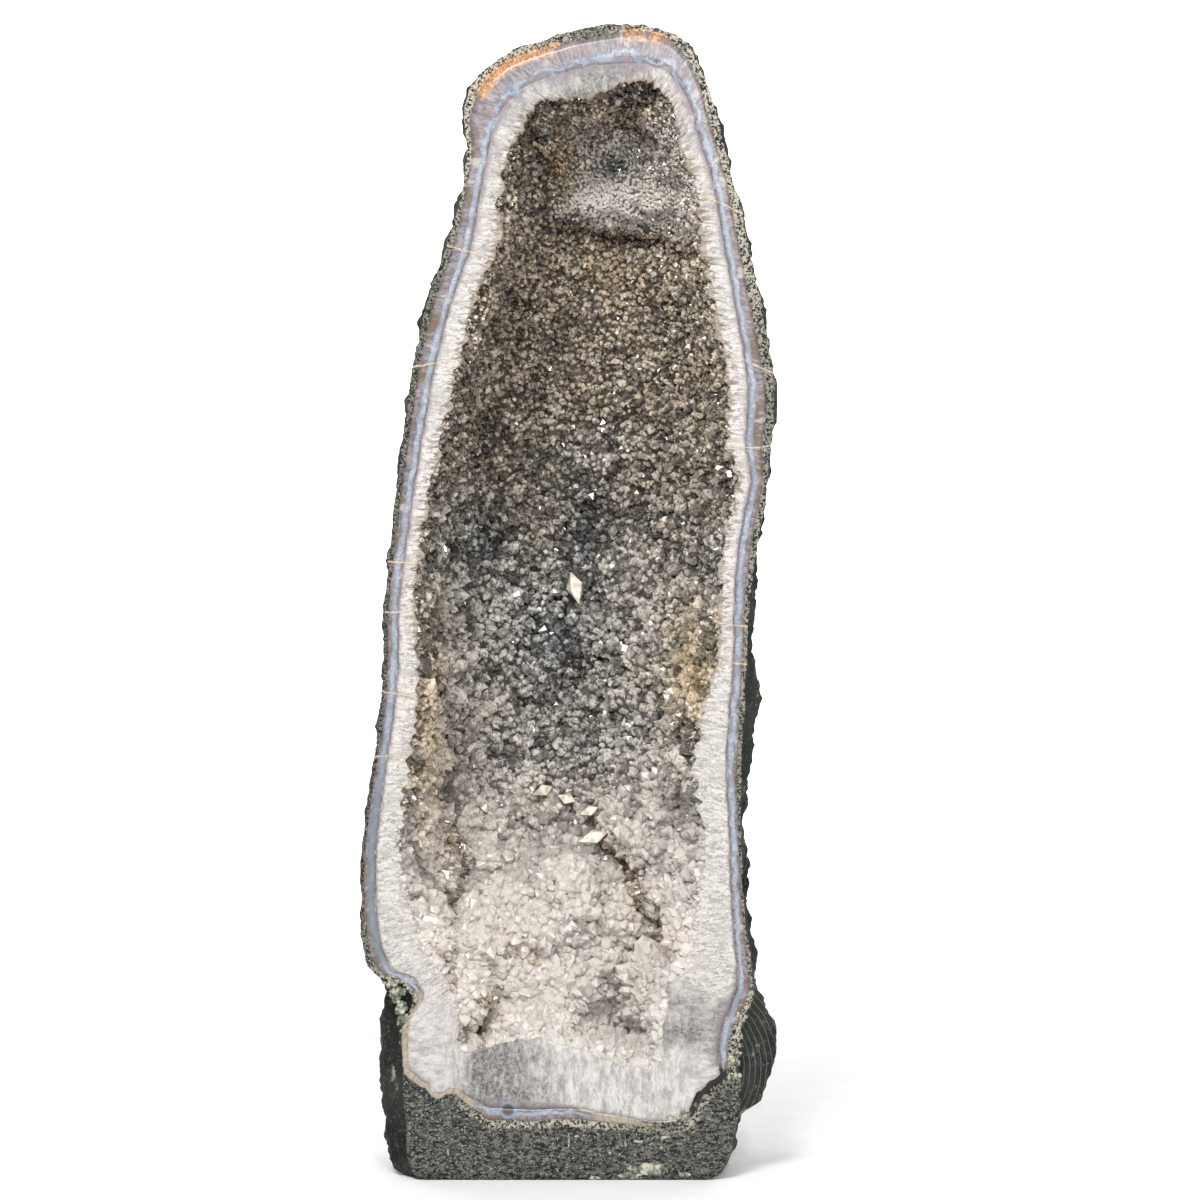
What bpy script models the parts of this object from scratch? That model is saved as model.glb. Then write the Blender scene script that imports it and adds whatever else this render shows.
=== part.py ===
"""Tall geode half, standing on its sawn base.

A shell of basalt is lined with a layer of banded agate, and that with one crust of quartz crystals
round a deep open hollow. A few pale calcite crystals stand on the crust. The sawn and polished
face looks along -Y, +X is to its right and +Z is up. The origin is at the middle of the base.

Every surface of the stone is a bowl: its front edge is a closed outline in the sawn plane, and
behind that plane the outline shrinks towards an upright line, the spine, while it gets deeper.
"""

import bmesh
import bpy
import numpy as np
from mathutils import Vector
from mathutils.geometry import tessellate_polygon

MM = 0.001

# Sizes in millimetres
GAP = 0.4
MIDDLE_X = -2.1
MIDDLE_DEPTH = 120.4
BOWL_POWER = 2.5
LEDGE_FRONT = 6.0
LEDGE_BACK = 24.0
ROUGH_START = 45.0

# The sawn face, read round its edge: up the left side, over the top, down the right side and
# back along the base. Each row holds the outer edge's x and z, the hollow's edge's x and z, the
# shares of the way between them where the agate starts and ends, and how far the rock behind
# the sawn plane stands out past the outer edge.
OUTER_X, OUTER_Z, HOLLOW_X, HOLLOW_Z, AGATE_START, AGATE_END, SWELL = range(7)
OUTLINE = [
    (-112, 0, -79, 100, 0.69, 0.72, 14), (-126, 12, -85, 101, 0.67, 0.70, 16),
    (-130, 47, -88, 112, 0.40, 0.46, 17), (-132, 82, -88, 128, 0.10, 0.28, 19),
    (-133, 117, -91, 144, 0.10, 0.27, 17), (-124, 138, -98, 154, 0.12, 0.25, 24),
    (-135, 153, -104, 165, 0.16, 0.35, 15), (-153, 159, -112, 175, 0.20, 0.42, 0),
    (-163, 179, -121, 191, 0.18, 0.42, -1), (-165, 218, -131, 218, 0.18, 0.36, -1),
    (-164, 257, -134, 257, 0.22, 0.43, -1), (-159, 296, -132, 296, 0.23, 0.47, 0),
    (-152, 342, -125, 342, 0.20, 0.38, 0), (-148, 389, -119, 389, 0.21, 0.36, 0),
    (-146, 451, -122, 451, 0.27, 0.53, 0), (-140, 513, -114, 513, 0.30, 0.60, 0),
    (-132, 576, -101, 576, 0.22, 0.51, 0), (-123, 638, -86, 638, 0.26, 0.51, 0),
    (-112, 685, -76, 685, 0.30, 0.67, 0), (-98, 727, -59, 727, 0.25, 0.53, 0),
    (-88, 762, -56, 762, 0.16, 0.54, 0), (-82, 801, -49, 797, 0.14, 0.54, 0),
    (-85, 828, -40, 817, 0.17, 0.68, 0), (-77, 853, -32, 831, 0.15, 0.82, 0),
    (-56, 874, -17, 840, 0.15, 0.78, 0), (-21, 888, 7, 842, 0.13, 0.57, 0),
    (14, 898, 25, 845, 0.17, 0.57, 0), (46, 900, 44, 854, 0.15, 0.73, 0),
    (75, 895, 61, 854, 0.16, 0.79, 0), (94, 879, 72, 842, 0.16, 0.67, 0),
    (106, 854, 81, 826, 0.19, 0.63, 0), (116, 821, 85, 803, 0.20, 0.57, 0),
    (127, 778, 95, 776, 0.20, 0.55, 0), (137, 735, 102, 735, 0.22, 0.61, 0),
    (147, 688, 109, 692, 0.25, 0.62, 0), (156, 638, 119, 642, 0.25, 0.62, 0),
    (159, 607, 123, 607, 0.20, 0.62, 0), (156, 572, 119, 576, 0.16, 0.52, 0),
    (153, 537, 128, 546, 0.20, 0.58, 1), (146, 498, 118, 498, 0.20, 0.50, 2),
    (140, 451, 116, 451, 0.20, 0.54, 4), (137, 404, 114, 408, 0.17, 0.50, 8),
    (135, 362, 102, 364, 0.12, 0.33, 12), (133, 315, 94, 325, 0.10, 0.26, 8),
    (133, 268, 102, 272, 0.10, 0.32, 4), (135, 218, 100, 218, 0.12, 0.30, 4),
    (140, 167, 92, 167, 0.12, 0.26, 3), (143, 149, 78, 152, 0.12, 0.24, 1),
    (139, 134, 75, 140, 0.12, 0.26, 15), (134, 121, 72, 128, 0.14, 0.27, 26),
    (131, 105, 71, 118, 0.15, 0.27, 32), (131, 87, 70, 109, 0.18, 0.28, 27),
    (133, 74, 70, 103, 0.22, 0.29, 21), (132, 58, 68, 96, 0.35, 0.40, 18),
    (130, 47, 65, 92, 0.42, 0.46, 3), (122, 14, 53, 87, 0.45, 0.49, 2),
    (104, 0, 38, 89, 0.46, 0.50, 1), (53, 0, 14, 98, 0.44, 0.49, 0),
    (-1, 0, -17, 109, 0.41, 0.51, 0), (-56, 0, -52, 107, 0.40, 0.58, 0),
]
TOP_ROW = 27
LAST_SIDE_ROW = 56

# The spine: where its foot-to-head line stands in x, and how deep the stone is there
SPINE_HEIGHTS = (0, 220, 330, 513, 640, 800)
SPINE_X = (-4, -15, -14, 2, 17, 18)
DEPTH_HEIGHTS = (0, 100, 450, 560, 640, 700, 745, 770, 790)
DEPTHS = (226, 238, 240, 238, 231, 220, 207, 198, 190)

# Heights of the facets' rows on both sides of the rock and the agate
LEVELS = (
    0, 14, 47, 60, 82, 101, 120, 138, 153, 160, 182, 218, 257, 296, 325, 357, 389, 420,
    451, 482, 513, 544, 576, 607, 638, 665, 690, 715, 740, 765, 790,
)
TOP_STEPS = 9
BASE_STEPS = 9
OUTSIDE_RINGS = (0, 0.012, 0.04, 0.15, 0.32, 0.5, 0.72, 1)
INSIDE_RINGS = (0, 0.08, 0.34, 0.65, 1)

# Each surface: how far its bowl is drawn in from the one outside it, where its spine starts and
# ends, how much shallower it is than the stone, and how lumpy
OUTSIDE = {"share": None, "gap": 0, "draw_in": None, "low": 0, "high": 790, "drop": 0, "lumps": 0.03}
AGATE_BACK = {"share": AGATE_START, "gap": 0, "draw_in": -6, "low": 130, "high": 780,
              "drop": 30, "lumps": 0.012}
AGATE_FRONT = {"share": AGATE_END, "gap": 0, "draw_in": -8, "low": 140, "high": 776,
               "drop": 44, "lumps": 0.012}
HOLLOW = {"share": "hollow", "gap": 0, "draw_in": -6, "low": 150, "high": 770,
          "drop": 66, "lumps": 0.0}

# Quartz crystals: six-sided points in rows from the hollow's edge to its spine
CRYSTAL_ROWS = 11
CRYSTALS_UP_EACH_SIDE = 31
CRYSTALS_OVER_TOP = 12
CRYSTALS_ALONG_FLOOR = 11
CRYSTAL_WANDER = 0.16
POINT_HEIGHT = (0.30, 0.62)
RIM_TEETH = 2.6
BALL_SPACING = 58.0
BALL_HEIGHT = 7.0

# Mounds of the crust: x, z, half width, half height, and the share of the depth that they fill
MOUNDS = [
    (-16, 192, 74, 62, 0.56), (-34, 130, 46, 28, 0.36), (-82, 172, 26, 26, 0.34),
    (66, 262, 34, 44, 0.34), (-112, 240, 26, 60, 0.22), (36, 470, 28, 34, 0.12),
    (8, 500, 12, 90, -0.07), (-25, 420, 14, 60, -0.05), (44, 752, 52, 17, 0.40),
    (86, 745, 20, 16, 0.24), (52, 814, 44, 14, 0.22), (6, 788, 15, 30, 0.20),
    (88, 785, 14, 24, 0.20), (28, 784, 13, 13, -0.10), (-66, 520, 20, 40, -0.05),
    (-60, 620, 34, 60, 0.06),
]

# Calcite crystals: x, z, length, width, height, and the turn of the long axis in degrees
CALCITES = [
    (18, 454, 28, 17, 9, 112), (-21, 291, 18, 10, 7, 25), (-14, 275, 16, 11, 7, -30),
    (15, 272, 17, 11, 7, 15), (22, 257, 25, 15, 9, 22),
]
SEAT_RADIUS = 7.5
SEAT_HEIGHT = 9.0
LOW_ROUND_SEAT = 34.0
LOW_POINT = 5.5


def station(column, place):
    """One column of the outline's table at each place; the last row joins the first."""
    rows = np.arange(len(OUTLINE) + 1)
    values = [row[column] for row in OUTLINE + OUTLINE[:1]]
    return np.interp(np.mod(place, len(OUTLINE)), rows, values)


def smooth_step(start, end, value):
    """Rises smoothly from 0 at the start to 1 at the end."""
    share = np.clip((value - start) / (end - start), 0, 1)
    return share * share * (3 - 2 * share)


def waves(points, length, seed):
    """Smooth lumps between about -1 and 1: the mean of sines that run in random directions."""
    rng = np.random.default_rng(seed)
    directions = rng.normal(size=(7, 3))
    directions *= 2 * np.pi / (length * np.linalg.norm(directions, axis=1, keepdims=True))
    phases = rng.uniform(0, 2 * np.pi, 7)
    return np.sin(points @ directions.T + phases).mean(axis=-1) * 1.6


def places_round(levels, top_steps, base_steps):
    """Places round the outline whose heights on the left side match those on the right."""
    outer_z = np.array([row[OUTER_Z] for row in OUTLINE], float)
    left = np.interp(levels, outer_z[:TOP_ROW + 1], np.arange(TOP_ROW + 1))
    side_rows = np.arange(LAST_SIDE_ROW, TOP_ROW - 1, -1)
    right = np.interp(levels, outer_z[side_rows], side_rows)[::-1]
    over_top = np.linspace(left[-1], right[0], top_steps + 1)[1:-1]
    along_base = np.linspace(right[-1], len(OUTLINE) + left[0], base_steps + 1)[1:-1]
    return np.concatenate([left, over_top, right, along_base])


def edge_points(place, layer):
    """The layer's edge in the sawn plane, as x and z."""
    outer = np.stack([station(OUTER_X, place), station(OUTER_Z, place)], axis=-1)
    hollow = np.stack([station(HOLLOW_X, place), station(HOLLOW_Z, place)], axis=-1)
    if layer["share"] is None:
        return outer
    if layer["share"] == "hollow":
        return hollow
    share = station(layer["share"], place)[..., None]
    width = np.linalg.norm(hollow - outer, axis=-1, keepdims=True)
    return outer + (hollow - outer) * (share + layer["gap"] / width)


def bowl(place, ring, layer):
    """Points of a layer's surface: ring 0 is its edge, and ring 1 is its spine.

    A point goes from the edge to the spine by the cosine of the ring's angle, and back from the
    sawn plane by the sine, each raised to the same power, which makes a full, rounded section.
    """
    place, ring = np.broadcast_arrays(place, ring)
    edge = edge_points(place, layer)
    height = np.clip(station(OUTER_Z, place), layer["low"], layer["high"])
    spine = np.stack([np.interp(height, SPINE_HEIGHTS, SPINE_X), height], axis=-1)
    outward = edge - spine
    outward /= np.linalg.norm(outward, axis=-1, keepdims=True)
    swell = station(SWELL, place)[..., None] if layer["draw_in"] is None else layer["draw_in"]
    body = edge + outward * swell
    angle = ring * np.pi / 2
    narrow = np.cos(angle).clip(0) ** (2 / BOWL_POWER)
    narrow = np.where(ring >= 1, 0, narrow)[..., None]
    full_depth = np.interp(height, DEPTH_HEIGHTS, DEPTHS) - layer["drop"] - layer["gap"]
    depth = full_depth * np.sin(angle) ** (2 / BOWL_POWER)
    at_edge = 1 - smooth_step(LEDGE_FRONT, LEDGE_BACK, depth)[..., None]
    flat = (body - spine) * narrow + (edge - body) * at_edge
    points = np.stack([spine[..., 0] + flat[..., 0], depth, height + flat[..., 1]], axis=-1)
    lumps = layer["lumps"] * (waves(points, 150, 3) + 0.6 * waves(points, 70, 4))
    lumps = 1 + lumps * smooth_step(0, ROUGH_START, depth)
    points[..., 0] = spine[..., 0] + flat[..., 0] * lumps
    points[..., 1] = depth * lumps
    points[..., 2] = height + flat[..., 1] * lumps
    return points


def crust_points(place, ring):
    """The hollow's wall under its crystals: a bowl whose depth is partly filled by mounds."""
    points = bowl(place, ring, HOLLOW)
    x, depth, z = points[..., 0], points[..., 1], points[..., 2]
    filled = np.zeros_like(x)
    for middle_x, middle_z, half_width, half_height, share in MOUNDS:
        distance = ((x - middle_x) / half_width) ** 2 + ((z - middle_z) / half_height) ** 2
        filled += share * np.exp(-distance)
    balls = BALL_HEIGHT * waves(points, BALL_SPACING, 8) * smooth_step(10, 60, depth)
    points[..., 1] = depth * (1 - np.clip(filled, -0.08, 0.72)) - balls
    return points


def band_triangles(first, rows, columns):
    """Triangles between neighbouring rows of a closed grid, all split along the same diagonal."""
    triangles = []
    for row in range(rows):
        after = (row + 1) % rows
        for column in range(columns - 1):
            a = first + row * columns + column
            b = first + after * columns + column
            triangles.append((a, b, b + 1))
            triangles.append((a, b + 1, a + 1))
    return triangles


def sawn_ring(vertices, outer_loop, inner_loop):
    """Flat triangles in the sawn plane between two closed loops of vertex numbers."""
    loops = [[Vector((vertices[i][0], vertices[i][2], 0)) for i in loop]
             for loop in (outer_loop, inner_loop)]
    numbers = list(outer_loop) + list(inner_loop)
    return [tuple(numbers[i] for i in corners) for corners in tessellate_polygon(loops)]


def make_object(name, points, faces, material):
    """One closed body, from points in millimetres measured from the sawn plane."""
    mesh = bpy.data.meshes.new(name)
    placed = (np.asarray(points) - (MIDDLE_X, MIDDLE_DEPTH, 0)) * MM
    mesh.from_pydata(placed.tolist(), [], faces)
    body = bmesh.new()
    body.from_mesh(mesh)
    bmesh.ops.remove_doubles(body, verts=body.verts, dist=1e-7)
    bmesh.ops.recalc_face_normals(body, faces=body.faces)
    underside = [face for face in body.faces if all(abs(v.co.z) < 1e-9 for v in face.verts)]
    if len(underside) > 1:
        bmesh.ops.dissolve_faces(body, faces=underside, use_verts=True)
    body.to_mesh(mesh)
    body.free()
    item = bpy.data.objects.new(name, mesh)
    item.data.materials.append(material)
    bpy.context.scene.collection.objects.link(item)
    return item


def make_material(name, colour, roughness, transmission=0.0):
    """A stone finish."""
    material = bpy.data.materials.new(name)
    material.use_nodes = True
    shader = material.node_tree.nodes["Principled BSDF"]
    shader.inputs["Base Color"].default_value = (*colour, 1)
    shader.inputs["Roughness"].default_value = roughness
    shader.inputs["Metallic"].default_value = 0
    shader.inputs["Transmission Weight"].default_value = transmission
    return material


def layer_object(name, back, back_rings, front, material):
    """A layer of stone between two bowls, closed by its sawn edge."""
    places = places_round(LEVELS, TOP_STEPS, BASE_STEPS)
    back_grid = bowl(places[:, None], np.array(back_rings, float)[None], back)
    front_grid = bowl(places[:, None], np.array(INSIDE_RINGS, float)[None], front)
    count = len(places)
    points = np.concatenate([back_grid.reshape(-1, 3), front_grid.reshape(-1, 3)])
    second = back_grid.shape[0] * back_grid.shape[1]
    faces = band_triangles(0, count, len(back_rings))
    faces += band_triangles(second, count, len(INSIDE_RINGS))
    outer_loop = [row * len(back_rings) for row in range(count)]
    inner_loop = [second + row * len(INSIDE_RINGS) for row in range(count)]
    faces += sawn_ring(points, outer_loop, inner_loop)
    return make_object(name, points, faces, material)


def crystal_grid():
    """Corners of the crystals' six-sided cells, column by column, from the edge to the spine."""
    levels = np.linspace(HOLLOW["low"], HOLLOW["high"], 2 * CRYSTALS_UP_EACH_SIDE + 1)
    place = places_round(levels, 2 * CRYSTALS_OVER_TOP - 1, 2 * CRYSTALS_ALONG_FLOOR - 1)
    line = np.arange(CRYSTAL_ROWS + 1)
    place, ring = np.meshgrid(place, line / CRYSTAL_ROWS, indexing="ij")
    column = np.arange(place.shape[0])[:, None]
    zigzag = np.where((column + line) % 2 == 0, -1, 1) / (6 * CRYSTAL_ROWS)
    inside = (line > 0) & (line < CRYSTAL_ROWS)
    rng = np.random.default_rng(21)
    wander = rng.uniform(-1, 1, (2, *place.shape)) * CRYSTAL_WANDER * inside
    ring = ring + zigzag * inside + wander[0] / CRYSTAL_ROWS
    points = crust_points(place + wander[1] * 0.5, ring)
    teeth = np.where(column[:, 0] % 2 == 0, -1, 1) * RIM_TEETH + rng.uniform(-1, 1, len(place))
    middle = points[:, -1][:, ::2]
    outward = points[:, 0][:, ::2] - middle
    outward /= np.linalg.norm(outward, axis=1, keepdims=True)
    points[:, 0, 0] += outward[:, 0] * teeth
    points[:, 0, 2] += outward[:, 1] * teeth
    return points


def cell_normal(corners):
    """The way a cell faces: towards the hollow, which is also towards the sawn plane."""
    middle = corners.mean(axis=0)
    turned = np.roll(corners, -1, axis=0) - middle
    normal = np.cross(corners - middle, turned).sum(axis=0)
    size = np.linalg.norm(normal)
    if size < 1e-9:
        return np.array([0.0, -1.0, 0.0]), 0.0
    normal /= size
    if normal[1] > 0:
        normal = -normal
    return normal, np.sqrt(size / 2)


def choose_seats(cells, middles):
    """For each calcite crystal, the free cell of the crust that lies nearest behind it."""
    seats = {}
    for number, (x, z, *_) in enumerate(CALCITES):
        distance = np.hypot(middles[:, 0] - x, middles[:, 2] - z)
        for cell in np.argsort(distance):
            if cell not in seats.values():
                seats[number] = int(cell)
                break
    return {cell: number for number, cell in seats.items()}


def build_crust(material):
    """The crust of quartz: points on every cell, or a flat seat where a calcite crystal stands."""
    grid = crystal_grid()
    columns, lines = grid.shape[:2]
    points = [tuple(p) for p in grid.reshape(-1, 3)]
    cells = []
    for line in range(lines - 1):
        for middle in range(line % 2, columns, 2):
            near = [((middle + step) % columns) * lines + line for step in (-1, 0, 1)]
            far = [number + 1 for number in reversed(near)]
            cells.append(near + far)
    flat = grid.reshape(-1, 3)
    middles = np.array([flat[cell].mean(axis=0) for cell in cells])
    seats = choose_seats(cells, middles)
    seat_middles = middles[list(seats)]
    rng = np.random.default_rng(5)
    faces = []
    frames = {}
    for number, cell in enumerate(cells):
        corners = flat[cell]
        normal, size = cell_normal(corners)
        if number in seats:
            frames[seats[number]] = (middles[number], normal)
            top = len(points)
            for corner in corners:
                away = corner - middles[number]
                away -= normal * (away @ normal)
                away *= SEAT_RADIUS / np.linalg.norm(away)
                points.append(tuple(middles[number] + away + normal * SEAT_HEIGHT))
            for side in range(6):
                after = (side + 1) % 6
                faces.append((cell[side], cell[after], top + after))
                faces.append((cell[side], top + after, top + side))
            faces.append(tuple(top + side for side in range(6)))
            continue
        rise = rng.uniform(*POINT_HEIGHT) * size
        if np.linalg.norm(seat_middles - middles[number], axis=1).min() < LOW_ROUND_SEAT:
            rise = min(rise, LOW_POINT)
        lean = rng.normal(size=3) * 0.10 * size
        points.append(tuple(middles[number] + normal * rise + lean))
        tip = len(points) - 1
        faces += [(cell[side], cell[(side + 1) % 6], tip) for side in range(6)]
    second = len(points)
    places = places_round(LEVELS, TOP_STEPS, BASE_STEPS)
    back = {**AGATE_FRONT, "gap": GAP}
    back_grid = bowl(places[:, None], np.array(INSIDE_RINGS, float)[None], back)
    points += [tuple(p) for p in back_grid.reshape(-1, 3)]
    faces += band_triangles(second, len(places), len(INSIDE_RINGS))
    outer_loop = [second + row * len(INSIDE_RINGS) for row in range(len(places))]
    inner_loop = [column * lines for column in range(columns)]
    faces += sawn_ring(points, outer_loop, inner_loop)
    make_object("crystal_crust", points, faces, material)
    return frames


def build_calcite(number, frame, material):
    """A flat-bottomed, pointed crystal that lies on its seat, with a ridge along its top."""
    middle, normal = frame
    length, width, height, turn = CALCITES[number][2:]
    angle = np.radians(turn)
    along = np.array([np.cos(angle), 0, np.sin(angle)])
    along -= normal * (along @ normal)
    along /= np.linalg.norm(along)
    across = np.cross(normal, along)
    outline = [
        (0.5, 0, 0.5), (-0.5, 0, 0.45), (0.06, 0.5, 0.5), (0.06, -0.5, 0.5), (0.12, 0, 1),
        (-0.12, 0.05, 0.95), (0.2, 0.2, 0), (0.2, -0.2, 0), (-0.2, 0.2, 0), (-0.2, -0.2, 0),
    ]
    foot = middle + normal * (SEAT_HEIGHT + GAP)
    body = bmesh.new()
    for share_along, share_across, share_up in outline:
        point = foot + along * share_along * length + across * share_across * width
        point = point + normal * share_up * height
        body.verts.new((point - (MIDDLE_X, MIDDLE_DEPTH, 0)) * MM)
    bmesh.ops.convex_hull(body, input=body.verts)
    bmesh.ops.recalc_face_normals(body, faces=body.faces)
    name = f"calcite_crystal_{number + 1}"
    mesh = bpy.data.meshes.new(name)
    body.to_mesh(mesh)
    body.free()
    mesh.materials.append(material)
    bpy.context.scene.collection.objects.link(bpy.data.objects.new(name, mesh))


def main():
    for item in list(bpy.data.objects):
        bpy.data.objects.remove(item)
    basalt = make_material("basalt", (0.045, 0.050, 0.045), 0.85)
    agate = make_material("banded_agate", (0.42, 0.47, 0.60), 0.35)
    quartz = make_material("smoky_quartz", (0.48, 0.42, 0.36), 0.25)
    calcite = make_material("calcite", (0.80, 0.74, 0.62), 0.4)
    layer_object("basalt_shell", OUTSIDE, OUTSIDE_RINGS, AGATE_BACK, basalt)
    behind_agate = {**AGATE_BACK, "gap": GAP}
    layer_object("agate_band", behind_agate, INSIDE_RINGS, AGATE_FRONT, agate)
    seats = build_crust(quartz)
    for number in sorted(seats):
        build_calcite(number, seats[number], calcite)


main()
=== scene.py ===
# %% [markdown]
# # A tall geode half
#
# A geode is a gas bubble in basalt that water has lined with minerals. This one was sawn from top
# to bottom and stands on a sawn base. From outside to inside it is basalt, a thin layer of banded
# agate, a wall of white columnar quartz, and the smoky quartz points that grew into the hollow.
#
# The imported model is the frame: it gives the place and the size of everything. The script keeps
# its box, and the rind's outside is clipped to it.

# %% Load the frame
from functools import partial
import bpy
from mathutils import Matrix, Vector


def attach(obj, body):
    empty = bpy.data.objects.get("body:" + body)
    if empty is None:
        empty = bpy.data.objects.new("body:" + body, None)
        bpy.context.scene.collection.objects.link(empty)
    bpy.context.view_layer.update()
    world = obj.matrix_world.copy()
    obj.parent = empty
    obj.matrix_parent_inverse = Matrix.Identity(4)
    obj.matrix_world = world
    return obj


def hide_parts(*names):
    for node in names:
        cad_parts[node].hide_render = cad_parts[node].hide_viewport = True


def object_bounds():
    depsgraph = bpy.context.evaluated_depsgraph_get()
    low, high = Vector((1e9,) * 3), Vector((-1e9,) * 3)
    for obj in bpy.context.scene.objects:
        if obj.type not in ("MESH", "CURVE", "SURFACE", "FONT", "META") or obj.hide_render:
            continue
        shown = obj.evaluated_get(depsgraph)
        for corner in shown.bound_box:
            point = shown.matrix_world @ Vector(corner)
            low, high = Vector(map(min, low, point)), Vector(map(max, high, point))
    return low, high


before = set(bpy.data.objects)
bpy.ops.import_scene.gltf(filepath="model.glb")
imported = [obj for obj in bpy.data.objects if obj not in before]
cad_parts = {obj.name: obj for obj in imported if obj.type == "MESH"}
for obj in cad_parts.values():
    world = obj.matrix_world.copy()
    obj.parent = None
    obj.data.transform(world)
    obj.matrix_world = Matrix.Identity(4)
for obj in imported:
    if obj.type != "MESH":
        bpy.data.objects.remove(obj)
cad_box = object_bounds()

from types import SimpleNamespace

import bmesh
import bpy
import numpy as np
from mathutils import Vector

print("nodes:", sorted(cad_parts))

# %% [markdown]
# ## The sawn face's outline
#
# The sawn face carries most of what makes this stone recognisable: how wide each layer is, and
# where. So the outline is a short table, read round the edge in millimetres: up the left side,
# over the top, down the right side and back along the base. A reader function runs a smooth curve
# through the rows, because a saw cut has no corners except where the rock broke.

# %% The outline's table
MM = 0.001
# The stone's own middle, in the millimetres that the tables use
MIDDLE_X = -2.1
MIDDLE_DEPTH = 120.4
FACE_Y = -MIDDLE_DEPTH * MM

# Outer edge x and z, hollow's edge x and z, and how far the rock behind the sawn plane stands
# out past the outer edge
OUTER_X, OUTER_Z, HOLLOW_X, HOLLOW_Z, SWELL = range(5)
OUTLINE = np.array([
    (-112, 0, -79, 100, 14), (-126, 12, -85, 101, 16), (-130, 47, -88, 112, 17),
    (-132, 82, -88, 128, 19), (-133, 117, -91, 144, 17), (-124, 138, -98, 154, 24),
    (-135, 153, -104, 165, 15), (-153, 159, -112, 175, 0), (-163, 179, -121, 191, -1),
    (-165, 218, -131, 218, -1), (-164, 257, -134, 257, -1), (-159, 296, -132, 296, 0),
    (-152, 342, -125, 342, 0), (-148, 389, -119, 389, 0), (-146, 451, -122, 451, 0),
    (-140, 513, -114, 513, 0), (-132, 576, -101, 576, 0), (-123, 638, -86, 638, 0),
    (-112, 685, -76, 685, 0), (-98, 727, -59, 727, 0), (-88, 762, -56, 762, 0),
    (-82, 801, -49, 797, 0), (-85, 828, -40, 817, 0), (-77, 853, -32, 831, 0),
    (-56, 874, -17, 840, 0), (-21, 888, 7, 842, 0), (14, 898, 25, 845, 0), (46, 900, 44, 854, 0),
    (75, 895, 61, 854, 0), (94, 879, 72, 842, 0), (106, 854, 81, 826, 0), (116, 821, 85, 803, 0),
    (127, 778, 95, 776, 0), (137, 735, 102, 735, 0), (147, 688, 109, 692, 0),
    (156, 638, 119, 642, 0), (159, 607, 123, 607, 0), (156, 572, 119, 576, 0),
    (153, 537, 128, 546, 1), (146, 498, 118, 498, 2), (140, 451, 116, 451, 4),
    (137, 404, 114, 408, 8), (135, 362, 102, 364, 12), (133, 315, 94, 325, 8),
    (133, 268, 102, 272, 4), (135, 218, 100, 218, 4), (140, 167, 92, 167, 3),
    (143, 149, 78, 152, 1), (139, 134, 75, 140, 15), (134, 121, 72, 128, 26),
    (131, 105, 71, 118, 32), (131, 87, 70, 109, 27), (133, 74, 70, 103, 21), (132, 58, 68, 96, 18),
    (130, 47, 65, 92, 3), (122, 14, 53, 87, 2), (104, 0, 38, 89, 1), (53, 0, 14, 98, 0),
    (-1, 0, -17, 109, 0), (-56, 0, -52, 107, 0),
], float)
TOP_ROW = 27
LAST_SIDE_ROW = 56
ROWS = len(OUTLINE)


def read_row(column, place):
    """A straight-line reading of one column at each place; the last row joins the first."""
    closed = np.append(OUTLINE[:, column], OUTLINE[0, column])
    return np.interp(np.mod(place, ROWS), np.arange(ROWS + 1), closed)


def read_smooth(column, place):
    """A smooth reading: a cubic between two rows whose slopes come from the rows beyond them."""
    first = np.floor(place).astype(int)
    share = place - first
    before, start, end, after = (OUTLINE[(first + k) % ROWS, column] for k in (-1, 0, 1, 2))
    curve = 2 * start + (end - before) * share
    curve += (2 * before - 5 * start + 4 * end - after) * share ** 2
    curve += (3 * start - before - 3 * end + after) * share ** 3
    return curve / 2


def read_edge(x_column, z_column, place):
    """A smooth reading of one edge, as x and z."""
    return np.stack([read_smooth(x_column, place), read_smooth(z_column, place)], axis=-1)


print("outline rows:", ROWS, " width mm:", np.ptp(OUTLINE[:, OUTER_X]))

# %% [markdown]
# ## Where the layers meet
#
# A second, shorter table gives the rim's make-up round the outline: where the rock ends, where
# the pale blue layer of agate lies, and how strong the blue, the cream speckle of clay and the
# orange stain are. The layers' edges and the sawn face's colours both read it.

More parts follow.
